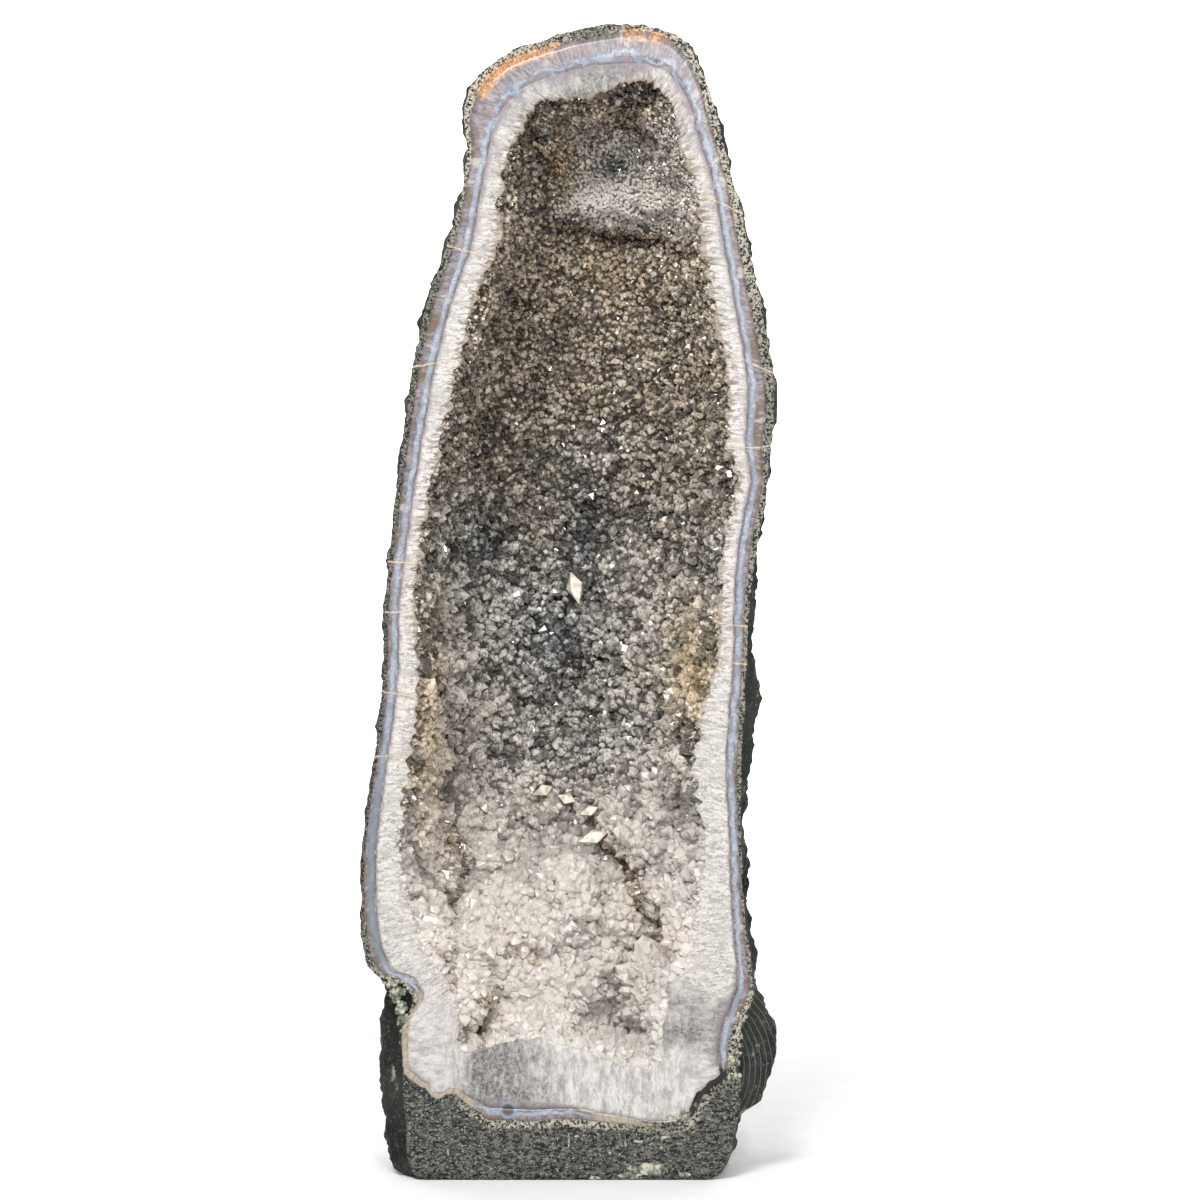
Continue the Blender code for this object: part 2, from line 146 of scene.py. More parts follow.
# %% The rim's own table
# Row of the outline, then the shares of the way to the hollow where the rock ends and where the
# blue layer's middle lies, and how strong the blue, the cream speckle, the orange, the glassy
# grey of the quartz and the dark gap under it are there
BLUE_HALF_WIDTH = 3.3
RIM_ROW, ROCK_SHARE, BLUE_SHARE, BLUE, CREAM, ORANGE, GREY, GAP = range(8)
RIM = np.array([
    (0, 0.67, 0.68, 0, 0.3, 0, 0.4, 0), (0.6, 0.66, 0.67, 0, 0.2, 0, 0, 0),
    (2, 0.38, 0.39, 0, 0, 0, 0, 0), (3, 0.03, 0.06, 0, 0.1, 0, 0, 0),
    (4, 0.04, 0.08, 0, 0.4, 0, 0, 0), (5, 0.16, 0.24, 0.2, 0.9, 0, 0, 0),
    (6, 0.12, 0.27, 0.9, 0.8, 0, 0.1, 0), (8, 0.13, 0.27, 1, 0.4, 0, 0.1, 0),
    (10, 0.12, 0.29, 1, 0.25, 0, 0.1, 0), (12, 0.13, 0.27, 1, 0.2, 0, 0.1, 0),
    (14, 0.18, 0.36, 1, 0.2, 0, 0.1, 0), (15, 0.20, 0.41, 1, 0.25, 0, 0.2, 0),
    (17, 0.16, 0.38, 1, 0.3, 0, 0.2, 0), (18, 0.18, 0.44, 1, 0.35, 0, 0.25, 0),
    (20, 0.14, 0.38, 1, 0.6, 0, 0.4, 0), (21, 0.12, 0.40, 1, 0.8, 0, 0.5, 0),
    (22, 0.13, 0.47, 1, 0.95, 0.3, 0.5, 0), (23, 0.17, 0.56, 1, 1, 1, 0.5, 0),
    (24, 0.16, 0.55, 1, 0.9, 1, 0.7, 0), (25, 0.16, 0.48, 1, 0.7, 0.9, 0.8, 0),
    (26, 0.18, 0.50, 1, 0.35, 0.1, 0.9, 0), (27, 0.15, 0.60, 1, 0.7, 1, 0.8, 0),
    (28, 0.16, 0.62, 1, 0.95, 0.8, 0.6, 0), (29, 0.18, 0.52, 1, 0.9, 0, 0.5, 0),
    (30, 0.22, 0.46, 1, 0.9, 0, 0.5, 0), (32, 0.22, 0.43, 1, 0.9, 0.1, 0.4, 0),
    (34, 0.26, 0.47, 1, 0.7, 0, 0.3, 0), (36, 0.22, 0.50, 1, 0.4, 0, 0.2, 0),
    (38, 0.20, 0.42, 1, 0.5, 0, 0.2, 0), (40, 0.20, 0.42, 1, 0.6, 0, 0.1, 0),
    (42, 0.13, 0.26, 1, 0.5, 0, 0, 0), (44, 0.10, 0.22, 1, 0.4, 0, 0, 0),
    (46, 0.06, 0.17, 0.6, 0.6, 0, 0, 0), (48, 0.08, 0.18, 1, 0.8, 0, 0.7, 0),
    (50, 0.14, 0.21, 1, 0.8, 0, 0.8, 0), (51, 0.16, 0.22, 0.7, 0.6, 0, 0.5, 0.3),
    (52, 0.20, 0.23, 0, 0.3, 0, 0.1, 1), (53, 0.36, 0.38, 0, 0.3, 0, 0, 1),
    (54, 0.42, 0.44, 0, 0.6, 0, 0, 1), (55, 0.45, 0.47, 0, 0.8, 0, 0, 0.6),
    (56, 0.46, 0.48, 0, 0.4, 0, 0, 0.8), (57, 0.45, 0.48, 0, 0.7, 0, 0, 0.3),
    (57.6, 0.44, 0.49, 0.5, 0.9, 0, 0.2, 0), (58.5, 0.42, 0.47, 0.9, 0.9, 0, 0.7, 0),
    (59.2, 0.44, 0.50, 1, 0.8, 0, 1, 0), (59.5, 0.54, 0.57, 0.3, 0.6, 0, 1, 0),
    (59.7, 0.60, 0.62, 0, 0.6, 0, 0.9, 0), (60, 0.67, 0.68, 0, 0.3, 0, 0.4, 0),
])


def rim_reading(column, place):
    """One column of the rim's table, read in straight lines."""
    return np.interp(np.mod(place, ROWS), RIM[:, RIM_ROW], RIM[:, column])


print("rim rows:", len(RIM))

# %% [markdown]
# ## Roughness from sums of sines
#
# Rock and crystal crusts are rough at every scale. A sum of sines that run in random directions
# gives smooth, seeded lumps of one wavelength, over whole arrays at once. Several of them, each
# finer and lower than the last, make a broken surface.

# %% Waves, steps and places round the outline
def waves(points, length, seed, count=7):
    """The mean of sines along random directions, one wavelength long, between about -1 and 1."""
    rng = np.random.default_rng(seed)
    directions = rng.normal(size=(count, 3))
    directions *= 2 * np.pi / (length * np.linalg.norm(directions, axis=1, keepdims=True))
    phases = rng.uniform(0, 2 * np.pi, count)
    return np.sin(points @ directions.T + phases).mean(axis=-1) * 1.6


def unit(vectors):
    """The same directions, each one long: every vector divided by its length."""
    return vectors / np.linalg.norm(vectors, axis=-1, keepdims=True)


def smooth_step(start, end, value):
    """Rises smoothly from 0 at the start to 1 at the end."""
    share = np.clip((value - start) / (end - start), 0, 1)
    return share * share * (3 - 2 * share)


def places_round(levels, top_steps, base_steps):
    """Places round the outline whose heights on the left match those on the right, so that both
    sides of a surface meet along its spine."""
    outer_z = OUTLINE[:, OUTER_Z]
    left = np.interp(levels, outer_z[:TOP_ROW + 1], np.arange(TOP_ROW + 1))
    side_rows = np.arange(LAST_SIDE_ROW, TOP_ROW - 1, -1)
    right = np.interp(levels, outer_z[side_rows], side_rows)[::-1]
    over_top = np.linspace(left[-1], right[0], top_steps + 1)[1:-1]
    along_base = np.linspace(right[-1], ROWS + left[0], base_steps + 1)[1:-1]
    return np.concatenate([left, over_top, right, along_base])


# %% [markdown]
# ## Every layer is a bowl
#
# Behind the sawn face, each layer curves back and closes along an upright line, the spine. The
# same formula serves all of them: a point slides from the layer's edge to the spine by a cosine
# and back into the stone by a sine, both raised to one power that makes the section full. Layers
# only differ in where their edge lies and how deep they are, so they can't cross each other.

# %% The bowl formula
BOWL_POWER = 2.5
# Depths between which a layer leaves the edge that the saw left, and the depth of full roughness
LEDGE_FRONT = 6.0
LEDGE_BACK = 24.0
ROUGH_START = 45.0
# The spine's x and the bowls' depth, by height
SPINE_HEIGHTS = (0, 220, 330, 513, 640, 800)
SPINE_X = (-4, -15, -14, 2, 17, 18)
DEPTH_HEIGHTS = (0, 100, 450, 560, 640, 700, 745, 770, 790)
DEPTHS = (226, 238, 240, 238, 231, 220, 207, 198, 190)

# Layers: the edge they start from, how far they draw in behind it, the spine's lowest and highest
# point, how much less deep they are than the outside, and how lumpy
OUTSIDE = {"edge": "rock", "draw_in": None, "low": 0, "high": 790, "drop": 0, "lumps": 0.03}
AGATE_BACK = {"edge": "start", "draw_in": -6, "low": 130, "high": 780, "drop": 30, "lumps": 0.012}
AGATE_FRONT = {"edge": "end", "draw_in": -8, "low": 140, "high": 776, "drop": 44, "lumps": 0.012}
HOLLOW = {"edge": "hollow", "draw_in": -6, "low": 150, "high": 770, "drop": 66, "lumps": 0.0}


def edge_points(place, edge):
    """Where a layer starts in the sawn plane, as x and z, with the small wobble of its kind."""
    outer = read_edge(OUTER_X, OUTER_Z, place)
    hollow = read_edge(HOLLOW_X, HOLLOW_Z, place)
    spot = np.stack([outer[..., 0], 0 * place, outer[..., 1]], axis=-1)
    inward = hollow - outer
    width = np.linalg.norm(inward, axis=-1, keepdims=True)
    inward = inward / width
    if edge == "rock":
        chips = 0.9 * waves(spot, 31, 40) + 0.6 * waves(spot, 11, 41) + 0.4 * waves(spot, 5, 42)
        chips = (chips - 0.9) * smooth_step(2, 30, outer[..., 1])
        return outer - inward * chips[..., None]
    if edge == "hollow":
        return hollow
    if edge == "start":
        across = rim_reading(ROCK_SHARE, place) * width[..., 0]
        across += 0.6 * waves(spot, 40, 50) + 0.4 * waves(spot, 14, 51)
    else:
        across = rim_reading(BLUE_SHARE, place) * width[..., 0] + BLUE_HALF_WIDTH
        across += 0.4 * waves(spot, 40, 60) + 0.3 * waves(spot, 14, 61)
    return outer + inward * across[..., None]


def spine_point(place, layer):
    """The point of the sawn plane's spine that a place looks at, as x, 0 and z."""
    height = np.clip(read_row(OUTER_Z, place), layer["low"], layer["high"])
    return np.stack([np.interp(height, SPINE_HEIGHTS, SPINE_X), 0 * height, height], axis=-1)


def bowl(place, ring, layer):
    """Points of a layer's surface, from ring 0 at its sawn edge to ring 1 on its spine."""
    place, ring = np.broadcast_arrays(place, ring)
    edge = edge_points(place, layer["edge"])
    heart = spine_point(place, layer)
    height = heart[..., 2]
    spine = heart[..., [0, 2]]
    outward = unit(edge - spine)
    swell = read_row(SWELL, place)[..., None] if layer["draw_in"] is None else layer["draw_in"]
    body = edge + outward * swell
    angle = ring * np.pi / 2
    narrow = np.where(ring >= 1, 0, np.cos(angle).clip(0) ** (2 / BOWL_POWER))[..., None]
    full_depth = np.interp(height, DEPTH_HEIGHTS, DEPTHS) - layer["drop"]
    depth = full_depth * np.sin(angle) ** (2 / BOWL_POWER)
    at_edge = 1 - smooth_step(LEDGE_FRONT, LEDGE_BACK, depth)[..., None]
    flat = (body - spine) * narrow + (edge - body) * at_edge
    points = np.stack([spine[..., 0] + flat[..., 0], depth, height + flat[..., 1]], axis=-1)
    lumps = layer["lumps"] * (waves(points, 150, 3) + 0.6 * waves(points, 70, 4))
    lumps = 1 + lumps * smooth_step(0, ROUGH_START, depth)
    return heart + (points - heart) * lumps[..., None]


# %% [markdown]
# ## From arrays to a Blender mesh
#
# A surface is a grid of points: its rows run round the outline and close on themselves, and its
# columns run across. The outside, a flat strip in the sawn plane and the inside make one closed
# sheet. Rows on the left and right share their heights, so merging by distance closes the seam
# on the spine, and the normals are then turned outwards.

# %% Grids, meshes and attributes
MERGE_DISTANCE = 0.002 * MM


def make_mesh(name, points, faces, smooth=True):
    """A mesh from points in millimetres behind the sawn plane and from equal-sided faces."""
    mesh = bpy.data.meshes.new(name)
    placed = (points - (MIDDLE_X, MIDDLE_DEPTH, 0)) * MM
    mesh.vertices.add(len(points))
    mesh.vertices.foreach_set("co", placed.ravel())
    mesh.loops.add(faces.size)
    mesh.loops.foreach_set("vertex_index", faces.ravel())
    mesh.polygons.add(len(faces))
    mesh.polygons.foreach_set("loop_start", np.arange(len(faces)) * faces.shape[1])
    mesh.polygons.foreach_set("use_smooth", np.full(len(faces), smooth))
    mesh.update(calc_edges=True)
    mesh.validate()
    return mesh


def grid_faces(rows, columns):
    """Quads of a grid whose rows close on themselves, as one array of vertex numbers."""
    row = np.arange(rows)[:, None]
    column = np.arange(columns - 1)[None]
    here = row * columns + column
    ahead = (row + 1) % rows * columns + column
    return np.stack([here, ahead, ahead + 1, here + 1], axis=-1).reshape(-1, 4)


def store_number(mesh, name, values):
    """One number at every vertex, which a material can read."""
    layer = mesh.attributes.new(name, "FLOAT", "POINT")
    layer.data.foreach_set("value", np.asarray(values, np.float32).ravel())


def store_colour(mesh, name, colours):
    """One linear colour at every vertex, which a material can read."""
    layer = mesh.attributes.new(name, "FLOAT_COLOR", "POINT")
    whole = np.concatenate([colours, np.ones((len(colours), 1))], axis=1)
    layer.data.foreach_set("color", whole.astype(np.float32).ravel())


def close_seams(mesh):
    """Merges the doubles on the spine and turns every face outwards."""
    body = bmesh.new()
    body.from_mesh(mesh)
    bmesh.ops.remove_doubles(body, verts=body.verts, dist=MERGE_DISTANCE)
    bmesh.ops.recalc_face_normals(body, faces=body.faces)
    body.to_mesh(mesh)
    body.free()


def new_object(name, data):
    """Puts a mesh, a lamp or a camera into the scene."""
    thing = bpy.data.objects.new(name, data)
    bpy.context.scene.collection.objects.link(thing)
    return thing


def add_piece(name, mesh, material, slot, *nodes):
    """Puts a mesh into the scene as a piece that rides on the stone's one body."""
    piece = new_object(name, mesh)
    mesh.materials.append(material)
    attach(piece, "root")
    if nodes:
        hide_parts(*nodes)
    mesh.calc_loop_triangles()
    print(name, "triangles:", len(mesh.loop_triangles))


# %% [markdown]
# ## Colours and nodes
#
# Colours are written as the sRGB hex values that the eye reads off a photograph; Blender's
# shaders work in linear light, so one function converts them. Another adds a node with its
# settings and links. Each material gets that function tied to its own tree of nodes, under the
# name add. A third lays colours over one another as coats.

# %% Colour and node helpers
def linear(code):
    """An sRGB hex colour as three linear numbers."""
    srgb = np.array([int(code[i:i + 2], 16) for i in (1, 3, 5)]) / 255
    return np.where(srgb <= 0.04045, srgb / 12.92, ((srgb + 0.055) / 1.055) ** 2.4)


def feed(tree, socket, value):
    """Gives a socket another node's output, a hex colour or plain numbers."""
    if isinstance(value, bpy.types.NodeSocket):
        tree.links.new(value, socket)
    elif isinstance(value, str):
        socket.default_value = (*linear(value), 1)
    else:
        socket.default_value = value


def add_node(tree, kind, *values, out=None, **named):
    """Adds a shader node and returns one of its outputs. Bare values feed the sockets in use, in
    their order. A name with a capital is a socket, with _ for a space; other names are settings."""
    node = tree.nodes.new("ShaderNode" + kind)
    for name, value in named.items():
        if name[0].islower():
            setattr(node, name, value)
    for socket, value in zip([socket for socket in node.inputs if socket.enabled], values):
        feed(tree, socket, value)
    for name, value in named.items():
        if name[0].isupper():
            feed(tree, node.inputs[name.replace("_", " ")], value)
    return node.outputs[out] if out else next(s for s in node.outputs if s.enabled)


def coat(add, under, *coats):
    """Lays coats over a colour, one after another. A coat is its colour, a mask, the mask's
    values where it starts and where it is full, and how much it then covers, 1 if not given."""
    for over, mask, start, end, *most in coats:
        most = most[0] if most else 1.0
        share = add("MapRange", mask, start, end, 0.0, most, interpolation_type="SMOOTHSTEP")
        under = add("Mix", share, under, over, data_type="RGBA")
    return under


def lumps_across(millimetres):
    """The scale of a pattern, in metres, whose lumps measure so many millimetres."""
    return 1 / (millimetres * MM)


def new_material(name):
    """A material, and the function that adds nodes to it."""
    material = bpy.data.materials.new(name)
    material.use_nodes = True
    return material, partial(add_node, material.node_tree)


def dress(material, **named):
    """Feeds the sockets of a material's Principled shader by name, with _ for a space."""
    shader = material.node_tree.nodes["Principled BSDF"]
    for name, value in named.items():
        feed(material.node_tree, shader.inputs[name.replace("_", " ")], value)
    return material


# %% [markdown]
# ## What the saw laid open
#
# The sawn face shows, from outside to inside: a speckled skin of rock with cream and green clay,
# an orange stain over the top, brown to lavender agate, one pale blue layer, and white quartz
# that stands in columns like the bristles of a brush. Real layers follow the wall that they grew
# on, so their colours don't follow x and z. Every vertex of the sawn strip knows its distances in
# millimetres: along the outline, from the middle of the blue layer, from the rock's border and
# from the hollow. One group of nodes turns those into colours, and all three layers use it, so
# that no colour stops short where one mesh meets the next.

# %% Distances on the sawn face
# Heights of the pale cracks that cross the rim, on the left and on the right, and their slants
LEFT_CRACKS = ((728, 0.3), (632, -0.15), (481, 0.05), (441, -0.1), (381, 0.2), (330, 0.0))
RIGHT_CRACKS = ((800, -0.5), (752, 0.5), (628, 0.4), (571, -0.2), (430, 0.1), (402, -0.15))
# Places between which the rock at the base is ground flat
GROUND_PLACES = (2.2, 2.8, 52.4, 53)
# An eye of rings in the bottom agate
EYE_PLACE = (-0.0473, FACE_Y, 0.0545)


def place_at(height, right):
    """The place on one side of the outline whose outer edge has a height."""
    rows = np.arange(LAST_SIDE_ROW, TOP_ROW - 1, -1) if right else np.arange(TOP_ROW + 1)
    return np.interp(height, OUTLINE[rows, OUTER_Z], rows)


def length_along(place):
    """The way round the outer edge to a place, in millimetres, by summing short steps."""
    fine = np.linspace(0, ROWS, 4000)
    steps = np.linalg.norm(np.diff(read_edge(OUTER_X, OUTER_Z, fine), axis=0), axis=1)
    return np.interp(np.mod(place, ROWS), fine, np.append(0, np.cumsum(steps)))


def store_rim(mesh, sheet, place):
    """Stores the distances and the strengths that the sawn face's colours follow."""
    outer = read_edge(OUTER_X, OUTER_Z, place)
    inward = edge_points(place, "hollow") - outer
    width = np.linalg.norm(inward, axis=-1)[:, None]
    across = ((sheet[..., [0, 2]] - outer[:, None]) * (inward / width)[:, None]).sum(-1)
    readings = [rim_reading(column, place)[:, None] for column in range(GAP + 1)]
    numbers = {
        "along": length_along(place)[:, None], "across": across,
        "from_blue": across - readings[BLUE_SHARE] * width,
        "from_rock": across - readings[ROCK_SHARE] * width,
        "from_hollow": width - across,
        "ground": np.interp(np.mod(place, ROWS), GROUND_PLACES, (1, 0, 0, 1))[:, None],
        "blue": readings[BLUE], "cream": readings[CREAM], "orange": readings[ORANGE],
        "grey": readings[GREY], "gap": readings[GAP],
    }
    for name, values in numbers.items():
        store_number(mesh, name, np.broadcast_to(values, across.shape))


print("way round the face mm:", round(float(length_along(ROWS - 0.001))))

# %% [markdown]
# ## Colours that follow the layers
#
# Four patterns of noise and the stored distances steer every colour of the face. Heights and x
# are in metres in these functions, as a shader reads them, and the stored distances in
# millimetres. A layer's colours are laid on as coats, each by its own mask.

# %% The sawn face's colours
def wobbled(add, distance, place, size, strength):
    """A distance in millimetres, moved to and fro by noise of a size and strength."""
    noise = add("TexNoise", place, Scale=lumps_across(size), Detail=3.0)
    centred = add("Math", noise, 0.5, operation="SUBTRACT")
    shift = add("Math", centred, strength, operation="MULTIPLY")
    return add("Math", distance, shift, operation="ADD")


def face_patterns(add):
    """The numbers stored on the face, wobbled as real layers are, and the patterns they steer."""
    names = ("along", "across", "from_blue", "from_rock", "from_hollow", "blue", "cream", "orange",
             "grey", "gap", "ground")
    face = SimpleNamespace(**{name: add("Attribute", attribute_name=name, out="Fac")
                              for name in names})
    place = face.place = add("TexCoord", out="Object")
    face.x, face.depth, face.height = (add("SeparateXYZ", place, out=axis) for axis in "XYZ")
    loops = add("MapRange", face.height, 0.78, 0.84, 0.0, 30.0)
    for size, strength in ((17, loops), (13, 6.0), (3.4, 2.4)):
        face.from_blue = wobbled(add, face.from_blue, place, size, strength)
    face.from_rock = wobbled(add, face.from_rock, place, 5, 4.5)
    squeezed = add("Math", face.across, 0.3, operation="MULTIPLY")
    columns = add("CombineXYZ", face.along, squeezed, 0.0)
    face.streaks = add("TexNoise", columns, Scale=1 / 2.8, Detail=5.0, Roughness=0.7,
                       Distortion=0.8)
    face.sheaves = add("TexNoise", columns, Scale=1 / 9, Detail=3.0)
    face.sugar, face.fine, face.clouds, face.speckle, face.patches = (
        add("TexNoise", place, Scale=lumps_across(size), Detail=detail, Roughness=0.72)
        for size, detail in ((3.0, 4.0), (1.6, 2.0), (20, 4.0), (1.9, 3.0), (8, 3.0)))
    return face


def agate_colours(add, face):
    """Grey agate with purple and brown parts, and the blue layer with lobes at the top."""
    brown = add("MapRange", face.height, 0.80, 0.86, 0.8, 0.2)
    agate = coat(add, "#938a87", ("#64606b", face.streaks, 0.40, 0.60),
                 ("#6c5541", face.clouds, 0.47, 0.60, brown),
                 ("#b7aea8", face.sheaves, 0.56, 0.68, 0.75))
    blue = coat(add, "#6c7485", ("#949ca9", face.from_blue, -2.6, -0.8),
                ("#777e8b", face.from_blue, 0.4, 2.2), ("#b4b9bf", face.streaks, 0.48, 0.64, 0.75),
                ("#73767f", face.clouds, 0.48, 0.60, 0.6), ("#59666d", face.x, -0.139, -0.149, 0.6))
    lobes = add("TexVoronoi", W=face.along, Scale=1 / 6.5, voronoi_dimensions="1D")
    lobes = add("Math", lobes, lobes, operation="MULTIPLY")
    lobes = add("Math", lobes, -4.0, 1.0, operation="MULTIPLY_ADD")
    lobe_size = add("MapRange", face.height, 0.82, 0.85, 0.0, 2.6)
    reach = add("Math", lobes, lobe_size, operation="MULTIPLY")
    outward = add("Math", face.from_blue, -1.0, operation="MULTIPLY")
    outward = add("Math", outward, reach, operation="SUBTRACT")
    apart = add("Math", face.from_blue, outward, operation="MAXIMUM")
    half = add("Math", face.clouds, 2.4, 1.7, operation="MULTIPLY_ADD")
    half = add("Math", half, face.blue, -0.6, operation="MULTIPLY_ADD")
    beyond = add("Math", apart, half, operation="SUBTRACT")
    broken = add("Math", face.gap, face.patches, operation="MULTIPLY")
    thin = coat(add, "#8f7f69", ("#b3a996", face.streaks, 0.40, 0.56))
    return coat(add, agate, ("#6b665a", face.gap, 0.1, 0.5), (thin, face.blue, 0.5, 0.1, 0.8),
                ("#0c0b0a", broken, 0.24, 0.38), (blue, beyond, 0.25, -0.35))


def quartz_colours(add, face):
    """White columns with sugary specks, glassy grey where the table says so, lilac beside the
    blue layer, and a fringe of white tips and brown gaps along the hollow's upper part."""
    quartz = coat(add, "#99948f", ("#cdc8c3", face.streaks, 0.38, 0.58),
                  ("#857b71", face.sugar, 0.52, 0.66, 0.65), ("#e5e2de", face.fine, 0.54, 0.66, 0.6),
                  ("#aaa5a1", face.sheaves, 0.50, 0.66, 0.6))
    feathers = [add("TexNoise", add("Mapping", face.place, Scale=squeeze),
                    Scale=lumps_across(4.2), Detail=5.0, Roughness=0.75, Distortion=0.25)
                for squeeze in ((1, 1, 0.34), (0.34, 1, 1))]
    aside = add("Math", face.x, operation="ABSOLUTE")
    aside = add("MapRange", aside, 0.085, 0.110, 0.0, 1.0)
    feathers = add("Mix", aside, *feathers)
    feathered = coat(add, "#96928f", ("#d8d4d1", feathers, 0.36, 0.64))
    low = add("MapRange", face.height, 0.15, 0.11, 0.0, 0.75)
    quartz = add("Mix", low, quartz, feathered, data_type="RGBA")
    glassy = coat(add, "#4a4845", ("#9a9693", face.sugar, 0.36, 0.66),
                  ("#c2bfbb", feathers, 0.50, 0.70, 0.6))
    mottled = add("Math", face.clouds, 1.8, -0.9, operation="MULTIPLY_ADD")
    mottled = add("Math", mottled, face.grey, operation="ADD")
    quartz = coat(add, quartz, (glassy, mottled, 0.2, 1.0, 0.95))
    reach = add("Math", face.grey, 9.0, 5.5, operation="MULTIPLY_ADD")
    lilac = coat(add, quartz, ("#81787e", face.from_blue, reach, 3.0, 0.9))
    quartz = coat(add, quartz, (lilac, face.blue, 0.3, 0.9))
    fringe = coat(add, quartz, ("#66543e", face.streaks, 0.52, 0.42, 0.85))
    upper = add("MapRange", face.height, 0.33, 0.46, 0.0, 1.0)
    tips = add("MapRange", face.from_hollow, 9.0, 2.0, 0.0, upper)
    quartz = add("Mix", tips, quartz, fringe, data_type="RGBA")
    stained = add("MapRange", face.height, 0.28, 0.42, 0.0, 0.6)
    return coat(add, quartz, ("#85745e", face.from_hollow, 2.6, 0.6, stained))


def rock_colours(add, face):
    """Dark basalt with grains, cream and green clay where the skin is, ground flat at the base."""
    clay = coat(add, "#171916", ("#b2ab9c", face.speckle, 0.45, 0.54),
                ("#3c5750", face.patches, 0.58, 0.66, 0.6))
    rock = coat(add, "#131412", ("#4a4b46", face.speckle, 0.44, 0.60),
                ("#9b9b94", face.fine, 0.56, 0.66, 0.8), (clay, face.cream, 0.0, 1.0))
    grain = add("Mapping", face.place, Scale=(0.45, 1, 1))
    grit = add("TexNoise", grain, Scale=lumps_across(2.4), Detail=5.0, Roughness=0.8)
    ground = coat(add, "#0b0b0a", ("#6c6c65", grit, 0.42, 0.62),
                  ("#2b2b28", face.clouds, 0.50, 0.62, 0.5), ("#a6a69d", face.fine, 0.58, 0.66, 0.8))
    flat = add("MapRange", face.from_rock, -4.0, -8.0, 0.0, 1.0)
    flat = add("Math", flat, face.ground, operation="MULTIPLY")
    return coat(add, rock, (ground, flat, 0.3, 0.7))


def crack_lines(add, face, shown):
    """Pale mineral in the cracks: lines that cross the rim at a slant, a millimetre wide."""
    way = wobbled(add, face.along, face.place, 12, 6.0)
    nearest = 9.0
    for side, cracks in ((False, LEFT_CRACKS), (True, RIGHT_CRACKS)):
        for height, slant in cracks:
            start = float(length_along(place_at(height, side)))
            slanted = add("Math", face.across, slant, operation="MULTIPLY")
            gap = add("Math", way, slanted, operation="ADD")
            gap = add("Math", gap, start, operation="SUBTRACT")
            gap = add("Math", gap, operation="ABSOLUTE")
            nearest = add("Math", gap, nearest, operation="MINIMUM")
    faded = add("Math", face.sugar, 2.4, -1.2, operation="MULTIPLY_ADD")
    nearest = add("Math", nearest, faded, operation="ADD")
    return coat(add, shown, ("#8b7a62", nearest, 1.8, 0.5, 0.5), ("#cdc2ad", nearest, 0.7, 0.2, 0.8))


def sawn_face(add):
    """The sawn face's colours from the inside out, and the patterns that its relief can use."""
    face = face_patterns(add)
    eye = add("VectorMath", face.place, EYE_PLACE, operation="DISTANCE", out="Value")
    eye = add("Math", eye, 1 / MM, operation="MULTIPLY")
    shown = coat(add, quartz_colours(add, face),
                 (agate_colours(add, face), face.from_blue, 3.8, 3.0),
                 ("#87909f", eye, 7.2, 6.2), ("#5f677c", eye, 5.0, 4.6), ("#55504b", eye, 3.9, 3.3),
                 (rock_colours(add, face), face.from_rock, 0.5, -0.6))
    rust = coat(add, "#ad6f3d", ("#d6ae86", face.speckle, 0.44, 0.58))
    stain = add("Math", face.orange, face.patches, operation="MULTIPLY")
    stain = coat(add, shown, (rust, stain, 0.33, 0.50, 0.9))
    from_stain = add("Math", face.from_rock, 2.0, operation="SUBTRACT")
    from_stain = add("Math", from_stain, operation="ABSOLUTE")
    shown = coat(add, shown, (stain, from_stain, 6.0, 3.0))
    return crack_lines(add, face, shown), face


# %% [markdown]
# ## Basalt
#
# The rind is weathered basalt: nearly black, pitted by small gas bubbles, with grey grains and
# here and there a skin of green and cream clay where the bubble's wall was. It is dull, so its
# form shows only by its relief. Whatever lies in the sawn plane takes the sawn face's colours.

# %% The basalt material
# A wave texture at scale 1 has rings this many metres apart
WAVE_LENGTH = 2 * np.pi / 20
# Depths between which the sawn face gives way to the rock's own skin
SKIN = (FACE_Y + 0.2 * MM, FACE_Y + 1.2 * MM)


